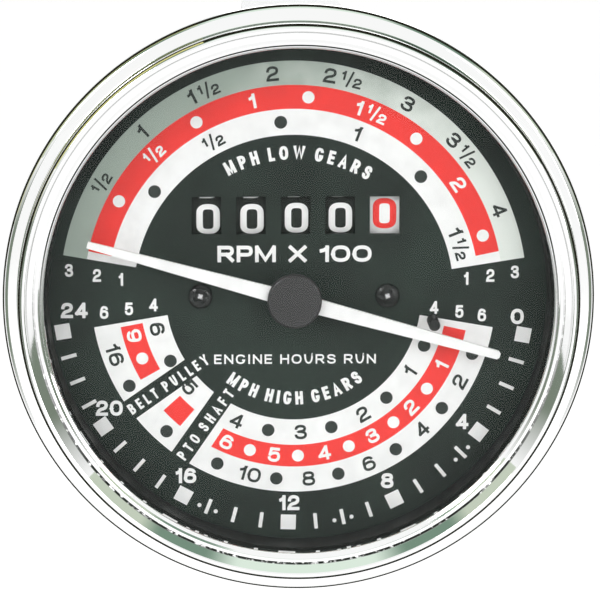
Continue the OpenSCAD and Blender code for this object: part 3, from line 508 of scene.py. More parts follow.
FULL_BOX = [(0, 0), (1, 0), (1, 1), (0, 1)]
STEM = ("line", [(0, 0), (0, 1)])
LETTERS = {
    "0": (0.9, [("loop", FULL_BOX)]),
    "1": (0.45, [("line", [(1, 0), (1, 1)]), ("curve", [(0.05, 0.72), (0.75, 0.74), (1, 0.93)])]),
    "2": (0.86, [("curve", [(0.05, 0.74), (0.05, 1), (0.97, 1), (0.97, 0.5), (0.02, 0.34), (0.02, 0.02)]),
                 ("line", [(0, 0), (0.98, 0)])]),
    "3": (0.86, [("curve", [(0.06, 0.82), (0.06, 1), (0.94, 1), (0.94, 0.54), (0.4, 0.54)]),
                 ("curve", [(0.4, 0.53), (1, 0.53), (1, 0), (0.03, 0), (0.03, 0.19)])]),
    "4": (0.9, [("line", [(0.74, 0), (0.74, 1)]), ("line", [(0.03, 0.25), (0.97, 0.25)]),
                ("line", [(0.68, 0.97), (0.03, 0.25)])]),
    "5": (0.86, [("line", [(0.9, 1), (0.18, 1), (0.1, 0.52)]),
                 ("curve", [(0.1, 0.5), (0.25, 0.64), (1, 0.68), (1, 0), (0.03, 0), (0.03, 0.18)])]),
    "6": (0.87, [("curve", [(0.94, 0.86), (0.9, 1), (0.01, 1), (0.01, 0.3)]),
                 ("loop", [(0, 0), (1, 0), (1, 0.61), (0, 0.61)])]),
    "8": (0.87, [("loop", [(0.06, 0.56), (0.94, 0.56), (0.94, 1), (0.06, 1)]),
                 ("loop", [(0, 0), (1, 0), (1, 0.53), (0, 0.53)])]),
    "9": (0.87, [("curve", [(0.06, 0.14), (0.1, 0), (0.99, 0), (0.99, 0.7)]),
                 ("loop", [(0, 0.39), (1, 0.39), (1, 1), (0, 1)])]),
    "/": (0.34, [("line", [(0, 0), (1, 1)])]),
    "A": (0.86, [("line", [(0, 0), (0.5, 1), (1, 0)]), ("line", [(0.3, 0.3), (0.7, 0.3)])]),
    "B": (0.78, [STEM, ("bowl", [(0, 1), (0.93, 1), (0.93, 0.54), (0, 0.54)]),
                 ("bowl", [(0, 0.52), (1, 0.52), (1, 0), (0, 0)])]),
    "E": (0.68, [STEM, ("line", [(0, 0), (0.98, 0)]), ("line", [(0, 0.51), (0.9, 0.51)]),
                 ("line", [(0, 1), (0.98, 1)])]),
    "F": (0.66, [STEM, ("line", [(0, 0.49), (0.86, 0.49)]), ("line", [(0, 1), (0.98, 1)])]),
    "G": (0.86, [("curve", [(0.95, 0.86), (0.93, 1), (0, 1), (0, 0), (0.97, 0), (0.97, 0.36)]),
                 ("line", [(0.78, 0.36), (0.97, 0.36)])]),
    "H": (0.8, [STEM, ("line", [(1, 0), (1, 1)]), ("line", [(0, 0.52), (1, 0.52)])]),
    "I": (0.22, [("line", [(0.5, 0), (0.5, 1)])]),
    "L": (0.64, [STEM, ("line", [(0, 0), (0.98, 0)])]),
    "M": (0.98, [STEM, ("line", [(1, 0), (1, 1)]), ("line", [(0.02, 1), (0.5, 0.05), (0.98, 1)])]),
    "N": (0.82, [STEM, ("line", [(1, 0), (1, 1)]), ("line", [(0.02, 0.98), (0.98, 0.02)])]),
    "O": (0.9, [("loop", FULL_BOX)]),
    "P": (0.76, [STEM, ("bowl", [(0, 1), (1, 1), (1, 0.44), (0, 0.44)])]),
    "R": (0.8, [STEM, ("bowl", [(0, 1), (0.96, 1), (0.96, 0.46), (0, 0.46)]),
                ("line", [(0.55, 0.44), (0.97, 0.02)])]),
    "S": (0.8, [("curve", [(0.94, 0.82), (0.92, 1), (0.04, 1), (0.04, 0.56), (0.98, 0.5), (0.98, 0),
                           (0.04, 0), (0.02, 0.18)])]),
    "T": (0.74, [("line", [(0.02, 1), (0.98, 1)]), ("line", [(0.5, 0), (0.5, 0.98)])]),
    "U": (0.8, [("curve", [(0, 1), (0, 0), (1, 0), (1, 1)])]),
    "W": (1.2, [("line", [(0, 1), (0.25, 0.03), (0.5, 0.97), (0.75, 0.03), (1, 1)])]),
    "X": (0.84, [("line", [(0, 0), (1, 1)]), ("line", [(0, 1), (1, 0)])]),
    "Y": (0.84, [("line", [(0, 1), (0.5, 0.48), (1, 1)]), ("line", [(0.5, 0.46), (0.5, 0)])]),
}
ROUNDING = {"line": 0, "bowl": 0.24, "curve": 1, "loop": 1}
WORD_SPACE = 0.5
CORNER_STEPS = 8
MITRE_LIMIT = 1.5
LEAST_STEP = 1e-6
LEAST_WIDTH = 1.001
# A half as shares of the letters' height: its width, and its parts' places along and up, and size.
HALF_WIDTH = 1.5
HALF_WEIGHT = 0.78
HALF_PARTS = [("1", -0.44, 0.2, 0.62), ("/", 0.02, 0.02, 1.1), ("2", 0.56, -0.14, 0.68)]

# Height in millimetres, weight and gap as shares of it, and how far the letters are stretched.
Style = namedtuple("Style", "height weight stretch gap", defaults=(0.18, 1.0, 0.16))


def round_line(points, radius, closed=False):
    """A line of points with its corners rounded."""
    count = len(points)
    result = []
    for i, here in enumerate(points):
        if not closed and i in (0, count - 1):
            result.append(Vector(here))
            continue
        corner = Vector(here)
        back = Vector(points[i - 1]) - corner
        ahead = Vector(points[(i + 1) % count]) - corner
        back_reach = min(radius, back.length * (1 if not closed and i == 1 else 0.5))
        ahead_reach = min(radius, ahead.length * (1 if not closed and i == count - 2 else 0.5))
        start = corner + back.normalized() * back_reach
        end = corner + ahead.normalized() * ahead_reach
        for k in range(CORNER_STEPS + 1):
            t = k / CORNER_STEPS
            spot = start * (1 - t) ** 2 + corner * 2 * t * (1 - t) + end * t ** 2
            if not result or (spot - result[-1]).length > LEAST_STEP:
                result.append(spot)
    return result


def divide(line, closed, step):
    """A line with points added so that no two lie more than a step apart."""
    result = []
    for i, here in enumerate(line):
        result.append(here)
        if i < len(line) - 1 or closed:
            ahead = line[(i + 1) % len(line)]
            pieces = math.ceil((ahead - here).length / step)
            result += [here.lerp(ahead, k / pieces) for k in range(1, pieces)]
    return result


def stroke(points, weight, radius, closed, step=None):
    """The triangles of a stroke of even weight along a line with rounded corners."""
    line = round_line(points, radius, closed) if radius else [Vector(p) for p in points]
    if step:
        line = divide(line, closed, step)
    count = len(line)
    sides = []
    for i, here in enumerate(line):
        before = line[i - 1] if closed or i > 0 else None
        after = line[(i + 1) % count] if closed or i < count - 1 else None
        arrive = (here - before).normalized() if before is not None else (after - here).normalized()
        leave = (after - here).normalized() if after is not None else arrive
        along = (arrive + leave).normalized()
        wider = 1 / max(1 / MITRE_LIMIT, along.dot(arrive))
        across = Vector((-along.y, along.x)) * weight / 2 * wider
        sides.append((tuple(here + across), tuple(here - across)))
    patches = []
    for i in range(count if closed else count - 1):
        a, b = sides[i]
        c, d = sides[(i + 1) % count]
        patches += [[a, b, d], [a, d, c]]
    return patches


def set_letter(solid, letter, style, centre, turn, layer):
    """Sets one letter with its middle at centre, turned by so many degrees."""
    share, strokes = LETTERS[letter]
    height = style.height
    line_w = style.weight * height
    width = max(share * height * style.stretch, line_w * LEAST_WIDTH)
    patches = []
    for kind, points in strokes:
        line = [Vector(((x - 0.5) * (width - line_w), (y - 0.5) * (height - line_w))) for x, y in points]
        closed = kind == "loop"
        if not closed:
            line[0] += (line[0] - line[1]).normalized() * line_w / 2
            line[-1] += (line[-1] - line[-2]).normalized() * line_w / 2
        patches += stroke(line, line_w, ROUNDING[kind] * height, closed)
    solid.fill([[turned(centre, x, y, turn) for x, y in patch] for patch in patches], layer)


def set_mark(solid, letter, style, centre, turn, layer):
    """A letter, or a half with its two small figures."""
    if letter != "½":
        set_letter(solid, letter, style, centre, turn, layer)
        return
    for part, along, up, size in HALF_PARTS:
        spot = turned(centre, along * style.height, up * style.height, turn)
        small = style._replace(height=style.height * size, weight=style.weight * HALF_WEIGHT / size)
        set_letter(solid, part, small, spot, turn, layer)


def measure(text, style):
    """The letters of a text with their middles along the line, centred on 0, and its length."""
    height, weight, stretch, gap = style
    along = 0
    marks = []
    for letter in text:
        if letter == " ":
            along += WORD_SPACE * height * stretch
            continue
        share = HALF_WIDTH / stretch if letter == "½" else LETTERS[letter][0]
        width = max(share * height * stretch, weight * height)
        marks.append((letter, along + width / 2))
        along += width + gap * height
    along -= gap * height
    return [(letter, spot - along / 2) for letter, spot in marks], along


def spread(text, style, width):
    """The letters of a text with their middles along the line. With a width, the gaps are fitted to it."""
    marks, length = measure(text, style)
    if not width:
        return marks
    wider = (width - length) / style.height / (len(text) - 1)
    marks, length = measure(text, style._replace(gap=style.gap + wider))
    return [(letter, along * width / length) for letter, along in marks]


def write_line(solid, text, style, centre, layer, turn=0, width=None):
    """A straight line of text about its middle."""
    for letter, along in spread(text, style, width):
        set_mark(solid, letter, style, turned(centre, along, 0, turn), turn, layer)


def write_arc(solid, text, style, r, angle, outward, layer, span=None):
    """Text along an arc whose letters' middles lie at radius r, with their tops outward or inward."""
    width = r * math.radians(span) if span else None
    side = 1 if outward else -1
    for letter, along in spread(text, style, width):
        a = angle - side * math.degrees(along / r)
        set_mark(solid, letter, style, polar(r, a), a - side * 90, layer)


# Dial print. Angles run anticlockwise from the right-hand horizontal, and sizes are in millimetres.

# The three layers of ink over the dial's face.
FIRST_INK = (0, 0.03)
SECOND_INK = (0.03, 0.06)
THIRD_INK = (0.06, 0.09)
UPPER_ENDS = (8.9, 170.1)
UPPER_WHITE = (29.7, 34.5)
UPPER_RED = (34.5, 38.9)
UPPER_SILVER = (38.9, 43.35)
RED_ENDS = (11.8, 167.9)
LOWER_INNER = (23.8, 28.65)
LOWER_RED = (28.65, 32.8)
LOWER_OUTER = (32.8, 37.65)
WHITE_DOT = 2.27
BLACK_DOT = 2.36
WHITE_FIGURE = Style(2.75, 0.2)
BLACK_FIGURE = Style(2.75, 0.18)
ARC_STEP = 1.5
SLANT_STEPS = 40
# Stretches of the lower bands. Slanted ones have each end at the inner and the outer radius.
LOWER_WHITE_ENDS = [((189.4, 189.4), (211.2, 212.5)), ((220.3, 218.5), (231.1, 232.5)),
                    ((240.3, 238.5), (350.2, 350.2))]
SHORT_RED_ENDS = [(190.8, 209.4), (222.0, 229.5)]
LONG_RED_ENDS = ((242.5, 241.8), (347.7, 347.7))


def slanted_sector(solid, band, start, end, layer, steps=SLANT_STEPS):
    """A sector whose ends are given at the band's inner and outer radius."""
    rims = [[polar(r, first + (last - first) * i / steps) for i in range(steps + 1)]
            for r, first, last in zip(band, start, end)]
    solid.ribbon(*rims, layer)


def sector(solid, band, start, end, layer):
    """A sector whose ends lie along the radius."""
    steps = round((end - start) / ARC_STEP)
    slanted_sector(solid, band, (start, start), (end, end), layer, steps)


def upper_bands():
    white = Solid("upper_white_band", "ink_white")
    sector(white, (UPPER_WHITE[0], UPPER_RED[1]), *UPPER_ENDS, FIRST_INK)
    white.build()
    silver = Solid("upper_silver_band", "ink_silver")
    sector(silver, UPPER_SILVER, *UPPER_ENDS, FIRST_INK)
    silver.build()
    red = Solid("upper_red_band", "ink_red")
    sector(red, UPPER_RED, *RED_ENDS, SECOND_INK)
    red.build()


def lower_bands():
    white = Solid("lower_white_bands", "ink_white")
    for ends in LOWER_WHITE_ENDS:
        slanted_sector(white, (LOWER_INNER[0], LOWER_OUTER[1]), *ends, FIRST_INK)
    white.build()
    red = Solid("lower_red_bands", "ink_red")
    for ends in SHORT_RED_ENDS:
        sector(red, LOWER_RED, *ends, SECOND_INK)
    slanted_sector(red, LOWER_RED, *LONG_RED_ENDS, SECOND_INK)
    red.build()


# Figures and dots by ink: the band, whether the figures' tops point outward, the figures with
# their angles, and the angles of the dots.
BLACK_MARKS = [
    (UPPER_SILVER, True, "½ 1 1½ 2 2½ 3 3½ 4", [150, 132.7, 114, 95.5, 77.5, 59.3, 41, 22.3], []),
    (UPPER_WHITE, True, "½ 1 1½", [118.1, 68.7, 17.1], [143.2, 94.3, 43.0]),
    (LOWER_INNER, False, "4 3 2 1 6 5", [246, 272.7, 299.5, 325.7, 194.3, 222.0],
     [259.4, 285.5, 311.3, 338.0, 208.6]),
    (LOWER_OUTER, False, "10 8 6 4 2 16", [256.4, 274.5, 293.5, 313, 331.7, 198.8],
     [245.9, 264.6, 283.7, 302.9, 321.9, 341.1, 209.3, 227.4]),
]
WHITE_MARKS = [
    (UPPER_RED, True, "½ 1 1½ 2", [135, 102, 67.3, 33.9], [151.6, 119.2, 85.8, 52.0, 17.2]),
    (LOWER_RED, False, "6 5 4 3 2 1 9", [245.8, 263, 280.7, 298.6, 315.5, 333.7, 194.7],
     [254.4, 271.4, 289.6, 307.4, 324.1, 203.1]),
]


def marks_in_ink(name, ink, marks, style, dot_size):
    """The figures and dots on the bands in one ink."""
    solid = Solid(name, ink)
    for band, outward, figures, angles, dots in marks:
        middle = sum(band) / 2
        for text, angle in zip(figures.split(), angles):
            write_arc(solid, text, style, middle, angle, outward, THIRD_INK)
        for angle in dots:
            dot(solid, middle, angle, dot_size, THIRD_INK)
    solid.build()


def band_figures():
    marks_in_ink("black_figures", "ink_black", BLACK_MARKS, BLACK_FIGURE, BLACK_DOT)
    marks_in_ink("white_figures", "ink_white", WHITE_MARKS, WHITE_FIGURE, WHITE_DOT)


# Speed ring. Its zero, step, drift and the dots' place aside are in degrees.
SPEED_R = 43.5
SPEED_ZERO = -10.4
SPEED_STEP = 6.684
SPEED_DRIFT = 1.15
SPEED_MARKS = 24
SQUARE = 2.85
TICK = (2.95, 0.68)
SPEED_DOT_R = 43.9
SPEED_DOT_ASIDE = 2.15
SPEED_DOT = 0.78


def speed_ring():
    """Squares every 400 revolutions, ticks every 100, and a dot on each side of every 500.
    The print drifts a little along the scale."""
    ring = Solid("speed_ring", "ink_white")
    for hundred in range(SPEED_MARKS + 1):
        drift = SPEED_DRIFT * math.sin(math.pi * (hundred / SPEED_MARKS) ** 2)
        angle = SPEED_ZERO - SPEED_STEP * hundred - drift
        size = (SQUARE, SQUARE) if hundred % 4 == 0 else TICK
        ring.slab(bar(polar(SPEED_R, angle), angle, *size), FIRST_INK)
        if hundred % 4 and hundred % 5 == 0:
            for side in (-1, 1):
                dot(ring, SPEED_DOT_R, angle + side * SPEED_DOT_ASIDE, SPEED_DOT, FIRST_INK)
    ring.build()


def photo_place(px, py):
    """The point of the print that the camera sees at a pixel of the photograph's own frame."""
    towards = view_direction()
    right = Vector((0, 0, 1)).cross(towards).normalized()
    up = towards.cross(right)
    pixel = SENSOR_MM / FOCAL_MM / PHOTO_W
    ray = right * (px - PHOTO_W / 2) * pixel - up * (py - PHOTO_H / 2) * pixel - towards
    start = VIEW_TARGET + VIEW_DISTANCE * towards
    spot = start + ray * ((-DIAL_FACE * MM - start.y) / ray.y)
    return spot.x / MM - PRINT_X, spot.z / MM - PRINT_Y


# Figures and words with their middles as pixels of the photograph's own frame. Straight words
# have their turn in degrees and their width, and round ones their radius, the angle of their
# middle, whether their tops point outward, and their span in degrees.
SPEED_STYLE = Style(2.9, 0.215, 0.93, 0.11)
SPEED_FIGURES = [("24", 74.5, 310), ("20", 109.4, 407.6), ("16", 186, 475), ("12", 289.3, 502),
                 ("8", 387.1, 480), ("4", 462, 421), ("0", 517, 316)]
GEAR_STYLE = Style(2.4, 0.192, 0.77)
GEAR_FIGURES = [("3", 69, 270), ("2", 97, 275), ("1", 121, 279),
                ("6", 104.2, 312), ("5", 128.9, 308.4), ("4", 153.6, 304.5),
                ("1", 466, 278), ("2", 490, 275), ("3", 514.5, 271.5),
                ("4", 434, 307), ("5", 459, 311), ("6", 481.6, 314.5)]
STRAIGHT_WORDS = [
    ("RPM X 100", (294.5, 253.4), 0, 28.6, Style(3.1, 0.22, 1.27, 0.14)),
    ("ENGINE HOURS RUN", (295, 358.5), 0, 30.2, Style(1.8, 0.18, 1.15, 0.18)),
    ("BELT PULLEY", (168.3, 384), 34, 17.6, Style(2.1, 0.2, 0.66, 0.16)),
    ("PTO SHAFT", (205.5, 424), 53.5, 15.8, Style(2.1, 0.2, 0.66, 0.16)),
]
ROUND_WORDS = [
    ("MPH LOW GEARS", 26.4, 88.0, True, 61, Style(2.55, 0.225, 0.72, 0.27)),
    ("MPH HIGH GEARS", 19.7, 270.5, False, 76, Style(2.5, 0.225, 0.72, 0.22)),
]


def dial_lettering():
    ink = Solid("dial_lettering", "ink_white")
    for style, figures in ((SPEED_STYLE, SPEED_FIGURES), (GEAR_STYLE, GEAR_FIGURES)):
        for text, px, py in figures:
            write_line(ink, text, style, photo_place(px, py), FIRST_INK)
    for text, place, turn, width, style in STRAIGHT_WORDS:
        write_line(ink, text, style, photo_place(*place), FIRST_INK, turn, width)
    for text, r, angle, outward, span, style in ROUND_WORDS:
        write_arc(ink, text, style, r, angle, outward, FIRST_INK, span)
    ink.build()


# Number drums

NUMERAL_W = 4.36
NUMERAL_H = 5.7
NUMERAL_STROKE = 1.19
NUMERAL_SQUASH = 0.82
NUMERAL_CORNER = 1.5
NUMERAL_STEP = 0.7
NUMERAL_REACH = 0.5
NUMERAL_TAIL = 0.6
NUMERAL_INK = (0, 0.04)
# How far each drum's figures stand off the middle of their window, in millimetres.
NUMERAL_ALONG = [0.16, -0.65, -0.67, -0.86, -0.86]
NUMERAL_ASIDE = [0.03, 0.09, 0.19, 0.19, 0.3]
DRUM_BODIES = ["tenths", "units", "tens", "hundreds", "thousands"]
MIDDLE_DRUM = 2
DIGITS = 10


def drum_figure(solid, digit, x, y):
    """One drum figure of squarish strokes about (x, y), thinner where they run across."""
    a = (NUMERAL_W - NUMERAL_STROKE) / 2
    b = (NUMERAL_H / NUMERAL_SQUASH - NUMERAL_STROKE) / 2
    far = a + NUMERAL_REACH
    near = a - NUMERAL_REACH
    foot = -b - NUMERAL_TAIL
    lines = {
        0: [([(-a, b), (a, b), (a, -b), (-a, -b)], True)],
        1: [([(-a * 0.6, b * 0.55), (0.2, b), (0.2, foot)], False)],
        2: [([(-a, b * 0.6), (-a, b), (a, b), (a, 0.1), (-a, -0.6), (-a, -b), (far, -b)], False)],
        3: [([(-a, b), (a, b), (a, 0), (-a * 0.3, 0)], False),
            ([(-a * 0.3, 0), (a, 0), (a, -b), (-a, -b)], False)],
        4: [([(a * 0.5, foot), (a * 0.5, b), (-a, -b * 0.35), (far, -b * 0.35)], False)],
        5: [([(a, b), (-a, b), (-a, 0.2), (a, 0.2), (a, -b), (-a, -b)], False)],
        6: [([(a, b), (-a, b), (-a, -b), (a, -b), (a, 0.1), (-near, 0.1)], False)],
        7: [([(-far, b), (a, b), (a * 0.6, 0.4), (-0.4, foot)], False)],
        8: [([(-a, b), (a, b), (a, 0), (-a, 0)], True), ([(-a, 0), (a, 0), (a, -b), (-a, -b)], True)],
        9: [([(-a, -b), (a, -b), (a, b), (-a, b), (-a, -0.1), (near, -0.1)], False)],
    }
    patches = []
    for points, closed in lines[digit]:
        for patch in stroke(points, NUMERAL_STROKE, NUMERAL_CORNER, closed, NUMERAL_STEP):
            patches.append([(px + x, py * NUMERAL_SQUASH + y) for px, py in patch])
    solid.fill(patches, NUMERAL_INK)


def drum_figures():
    """Ten figures round each drum. They climb as the drum turns, so the next one stands below."""
    for place, body in enumerate(DRUM_BODIES):
        drum_x = COUNTER_X + (MIDDLE_DRUM - place) * DRUM_PITCH

        def wrap(x, s, height, drum_x=drum_x):
            z, y = polar(DRUM_R + height, math.degrees(s / DRUM_R))
            return dial_point(drum_x + x, DRUM_Y + y, DRUM_Z + z)

        solid = Solid(f"figures_{body}", "ink_red" if place == 0 else "ink_white", body, wrap)
        for digit in range(DIGITS):
            along = NUMERAL_ALONG[place] - digit * 2 * math.pi * DRUM_R / DIGITS
            drum_figure(solid, digit, NUMERAL_ASIDE[place], along)
        solid.build()


# Turned pieces


def lathe(solid, profile, centre_x, steps):
    """Turns a closed profile of (radius, height) points about an axis at centre_x."""
    first = len(solid.points)
    count = len(profile)
    for i in range(steps):
        for r, z in profile:
            x, y = polar(r, 360 * i / steps)
            solid.points.append(dial_point(centre_x + x, y, z))
    for i in range(steps):
        a = first + i * count
        b = first + ((i + 1) % steps) * count
        for k in range(count):
            m = (k + 1) % count
            solid.faces.append([a + k, b + k, b + m, a + m])


def bend(centre_r, centre_z, radius, start, end, steps):
    """Points of a profile along an arc, from one angle to another."""
    return [turned((centre_r, centre_z), radius, 0, start + (end - start) * i / steps)
            for i in range(steps + 1)]


# The bezel's profile by (radius, height) in millimetres, with heights above the panel.
BACK_R = 51.0
SHEET = 0.8
BEAD = (53.0, 1.5)
BEAD_R = 1.49
BEAD_HOLLOW_R = 0.7
BEAD_TURN = (-90, 84)
FILLET_R = 0.55
FILLET_Z = 3.5
SHOULDER = (50.45, 7.21)
SHOULDER_R = 0.62
SHOULDER_FLAT = 0.16
CREST = (50.25, 7.45)
CREST_R = 0.55
SLOPE_TILT = 42
GROOVE = (48.36, 0.25)
LIP_Z = 6.55
LIP_BEND = (47.75, 0.25)
LIP_TURN = (90, 122)
LIP_EDGE = [(47.6, 6.49), (47.25, 6.2), (46.77, 5.97)]
RIM = (46.9, LIP_Z - 0.85)
RIM_R = 0.3
RIM_TURN = (124, 180)
SEAT_Z = 4.42
INSIDE_LINE = [(50.5, 2.3), (50.5, 6.6), (50.0, 7.1), (48.5, 5.6), (48.1, SEAT_Z)]
FACET_SHARES = (0.04, 0.12, 0.88, 0.96)
BEZEL_STEPS = 256
BEZEL_CREASE = 40


def facet(start, end):
    """Two points close to each end of a straight stretch, so that its smooth shading stays flat."""
    return [(start[0] + (end[0] - start[0]) * t, start[1] + (end[1] - start[1]) * t) for t in FACET_SHARES]


def bezel_piece():
    """The chrome bezel: bead, shelf, wall, crest with a flat on its shoulder, slope, groove, lip and seat."""
    flat = SHOULDER_FLAT
    wall_r = SHOULDER[0] + flat + SHOULDER_R
    outside = (
        [(BACK_R, 0)]
        + bend(*BEAD, BEAD_R, *BEAD_TURN, 24)
        + bend(wall_r + FILLET_R, FILLET_Z, FILLET_R, 270, 180, 6)
        + bend(SHOULDER[0] + flat, SHOULDER[1] - flat, SHOULDER_R, 0, 45, 8)
        + bend(SHOULDER[0] - flat, SHOULDER[1] + flat, SHOULDER_R, 45, 90, 6)
        + bend(*CREST, CREST_R, 90, 90 + SLOPE_TILT, 10)
        + bend(GROOVE[0], LIP_Z + GROOVE[1], GROOVE[1], -90 + SLOPE_TILT, -90, 6)
        + bend(LIP_BEND[0], LIP_Z - LIP_BEND[1], LIP_BEND[1], *LIP_TURN, 4)
        + facet(LIP_EDGE[0], LIP_EDGE[1])
        + facet(LIP_EDGE[1], LIP_EDGE[2])
        + bend(*RIM, RIM_R, *RIM_TURN, 6)
        + [(RIM[0] - RIM_R, SEAT_Z)])
    inside = [(BACK_R, SHEET)] + bend(*BEAD, BEAD_HOLLOW_R, *BEAD_TURN, 12) + INSIDE_LINE
    solid = Solid("chrome_bezel", "chrome")
    lathe(solid, outside + inside[::-1], RING_X, BEZEL_STEPS)
    solid.build(["bezel"], BEZEL_CREASE)


CAP_R = 5.0
CAP_BACK = 0.9
CAP_FRONT = 2.3
CAP_EDGE_R = 0.5
CAP_MIDDLE_R = 0.05
CAP_STEPS = 96
CAP_CREASE = 50


def cap_piece():
    """The pointer's cap with a rounded rim."""
    solid = Solid("hub_cap", "black_plastic", "pointer")
    rim = bend(CAP_R - CAP_EDGE_R, CAP_FRONT - CAP_EDGE_R, CAP_EDGE_R, 0, 90, 8)
    profile = [(CAP_MIDDLE_R, CAP_BACK), (CAP_R, CAP_BACK)] + rim + [(CAP_MIDDLE_R, CAP_FRONT)]
    lathe(solid, profile, 0, CAP_STEPS)
    solid.build(["pointer_cap"], CAP_CREASE)


# The dial screws, with heights above the dial's face.
SCREW_X = 17.4
SCREW_R = 2.3
SCREW_RISE = 1.0
SCREW_EDGE = 0.08
SCREW_SHANK_R = 1.2
SHANK_END = -10.4
SCREW_RINGS = 28
SCREW_STEPS = 96
SCREW_CREASE = 40
RECESS_R = 1.35
RECESS_W = 0.62
RECESS_DEPTH = 0.7
RECESS_END = 0.35
RECESS_SIDE = 0.12
RECESS_TURN = {-1: 28, 1: 62}
BARE_LENGTH = 1.04
BARE_WIDTH = 0.34
BARE_LAYER = (0.1, 0.38)


def recess_share(u, v, turn):
    """How far a place on a screw's head lies inside its cross recess, from 0 to 1."""
    along, across = (abs(way) for way in turned((0, 0), u, v, -turn))
    end = min(1, max(0, (RECESS_R - max(along, across)) / RECESS_END))
    side = min(1, max(0, (RECESS_W / 2 - min(along, across)) / RECESS_SIDE + 0.5))
    return min(end, side)


def screw_rings(turn):
    """Rings of points from the middle of a screw's head to its edge, and down its shank."""
    around = [polar(1, 360 * i / SCREW_STEPS) for i in range(SCREW_STEPS)]
    rings = []
    for ring in range(1, SCREW_RINGS + 1):
        share = ring / SCREW_RINGS
        r = SCREW_R * share
        dome = SCREW_EDGE + (SCREW_RISE - SCREW_EDGE) * math.sqrt(1 - share ** 2)
        rings.append([(r * u, r * v, dome - RECESS_DEPTH * recess_share(r * u, r * v, turn))
                      for u, v in around])
    for r, z in [(SCREW_R, 0), (SCREW_SHANK_R, 0), (SCREW_SHANK_R, SHANK_END)]:
        rings.append([(r * u, r * v, z) for u, v in around])
    return rings


def screw_pieces():
    """The dial's two pan-head screws: a dome whose skin dips into a cross recess, and a shank."""
    solid = Solid("dial_screw_heads", "screw_enamel")
    for side, turn in RECESS_TURN.items():
        x = side * SCREW_X
        first = len(solid.points) + 1
        rings = screw_rings(turn)
        solid.points.append(over_dial(x, 0, SCREW_RISE - RECESS_DEPTH))
        for ring in rings:
            solid.points += [over_dial(x + u, v, z) for u, v, z in ring]
        solid.points.append(over_dial(x, 0, SHANK_END))
        last = len(solid.points) - 1
        for i in range(SCREW_STEPS):
            j = (i + 1) % SCREW_STEPS
            solid.faces.append([first - 1, first + i, first + j])
            for a in range(first, last - SCREW_STEPS, SCREW_STEPS):
                b = a + SCREW_STEPS
                solid.faces.append([a + i, b + i, b + j, a + j])
            solid.faces.append([last, last - SCREW_STEPS + j, last - SCREW_STEPS + i])
    solid.build(["dial_screws"], SCREW_CREASE)


def bare_recesses():
    """The bare metal in the screws' recesses: a low cross on each recess's floor."""
    bare = Solid("screw_recess_floors", "steel", place=over_dial)
    for side, turn in RECESS_TURN.items():
        arms = (turn, turn + 90)
        bare.fill([bar((side * SCREW_X, 0), arm, BARE_LENGTH, BARE_WIDTH) for arm in arms], BARE_LAYER)
    bare.build()


# Studio, with distances in metres.

FLOOR_Z = -0.16
FLOOR_HALF = 10
FLOOR_GLOW = 0.6
SEEN_WORLD = 1.0
LIT_WORLD = 0.4
# Name, place, width and height, and power in watts. Each lamp points at the object.
LAMPS = [
    ("key_left", (-0.6, -0.75, 0.5), (0.3, 0.3), 1.95),
    ("fill_right", (0.5, -0.8, 0.16), (0.4, 0.4), 1.35),
    ("back_top", (0.1, 0.8, 0.7), (0.6, 0.4), 1.5),
]


def mix_by_ray(tree, seen, lit):
    """Shows one shader to camera, glossy and transmission rays and another to the rest."""
    rays = tree.add("ShaderNodeLightPath").outputs
    either = tree.maths("MAXIMUM", rays["Is Camera Ray"], rays["Is Glossy Ray"])
    factor = tree.maths("MAXIMUM", either, rays["Is Transmission Ray"])
    return tree.mix_shaders(factor, lit, seen)


def add_world():
    world = bpy.data.worlds.new("studio")
    bpy.context.scene.world = world
    world.use_nodes = True
    tree = Nodes(world.node_tree)
    seen = world.node_tree.nodes["Background"]
    lit = tree.add("ShaderNodeBackground")
    for node, strength in ((seen, SEEN_WORLD), (lit, LIT_WORLD)):
        node.inputs["Color"].default_value = (1, 1, 1, 1)
        node.inputs["Strength"].default_value = strength
    tree.show(mix_by_ray(tree, seen.outputs["Background"], lit.outputs["Background"]), "World Output")


def add_floor():
    """A floor that is white to the camera and still takes the object's shadow."""
    shader = Shader("floor_white", (0.9, 0.9, 0.9), 0.9)
    glow = shader.add("ShaderNodeEmission")
    glow.inputs["Strength"].default_value = FLOOR_GLOW
    both = shader.add("ShaderNodeAddShader")
    paint_only = shader.bsdf.outputs["BSDF"]
    shader.link(paint_only, both.inputs[0])
    shader.link(glow.outputs["Emission"], both.inputs[1])
    shader.show(mix_by_ray(shader, both.outputs["Shader"], paint_only))
    mesh = bpy.data.meshes.new("floor")
    w = FLOOR_HALF
    mesh.from_pydata([(-w, -w, 0), (w, -w, 0), (w, w, 0), (-w, w, 0)], [], [(0, 1, 2, 3)])
    mesh.materials.append(shader.material)
    floor = add_object("floor", mesh)
    floor.location = (0, 0, FLOOR_Z)


def card_material(name, stops):
    """A glow whose colour changes with the angle round the dial's axis, by (degrees, colour)."""
    material = bpy.data.materials.new(name)
    material.use_nodes = True
    tree = Nodes(material.node_tree)
    glow = tree.add("ShaderNodeEmission")
    tree.show(glow.outputs["Emission"])
    axes = tree.axes()
    angle = tree.maths("ARCTAN2", axes["Z"], axes["X"])
    ramp = tree.add("ShaderNodeValToRGB")
    tree.link(tree.ramp(angle, 0, 1, -math.pi, math.pi), ramp.inputs["Fac"])
    while len(ramp.color_ramp.elements) < len(stops):
        ramp.color_ramp.elements.new(0.5)
    for element, (degrees, colour) in zip(ramp.color_ramp.elements, stops):
        element.position = (degrees + 180) / 360
        element.color = (*colour, 1)
    tree.link(ramp.outputs["Color"], glow.inputs["Color"])
    return material


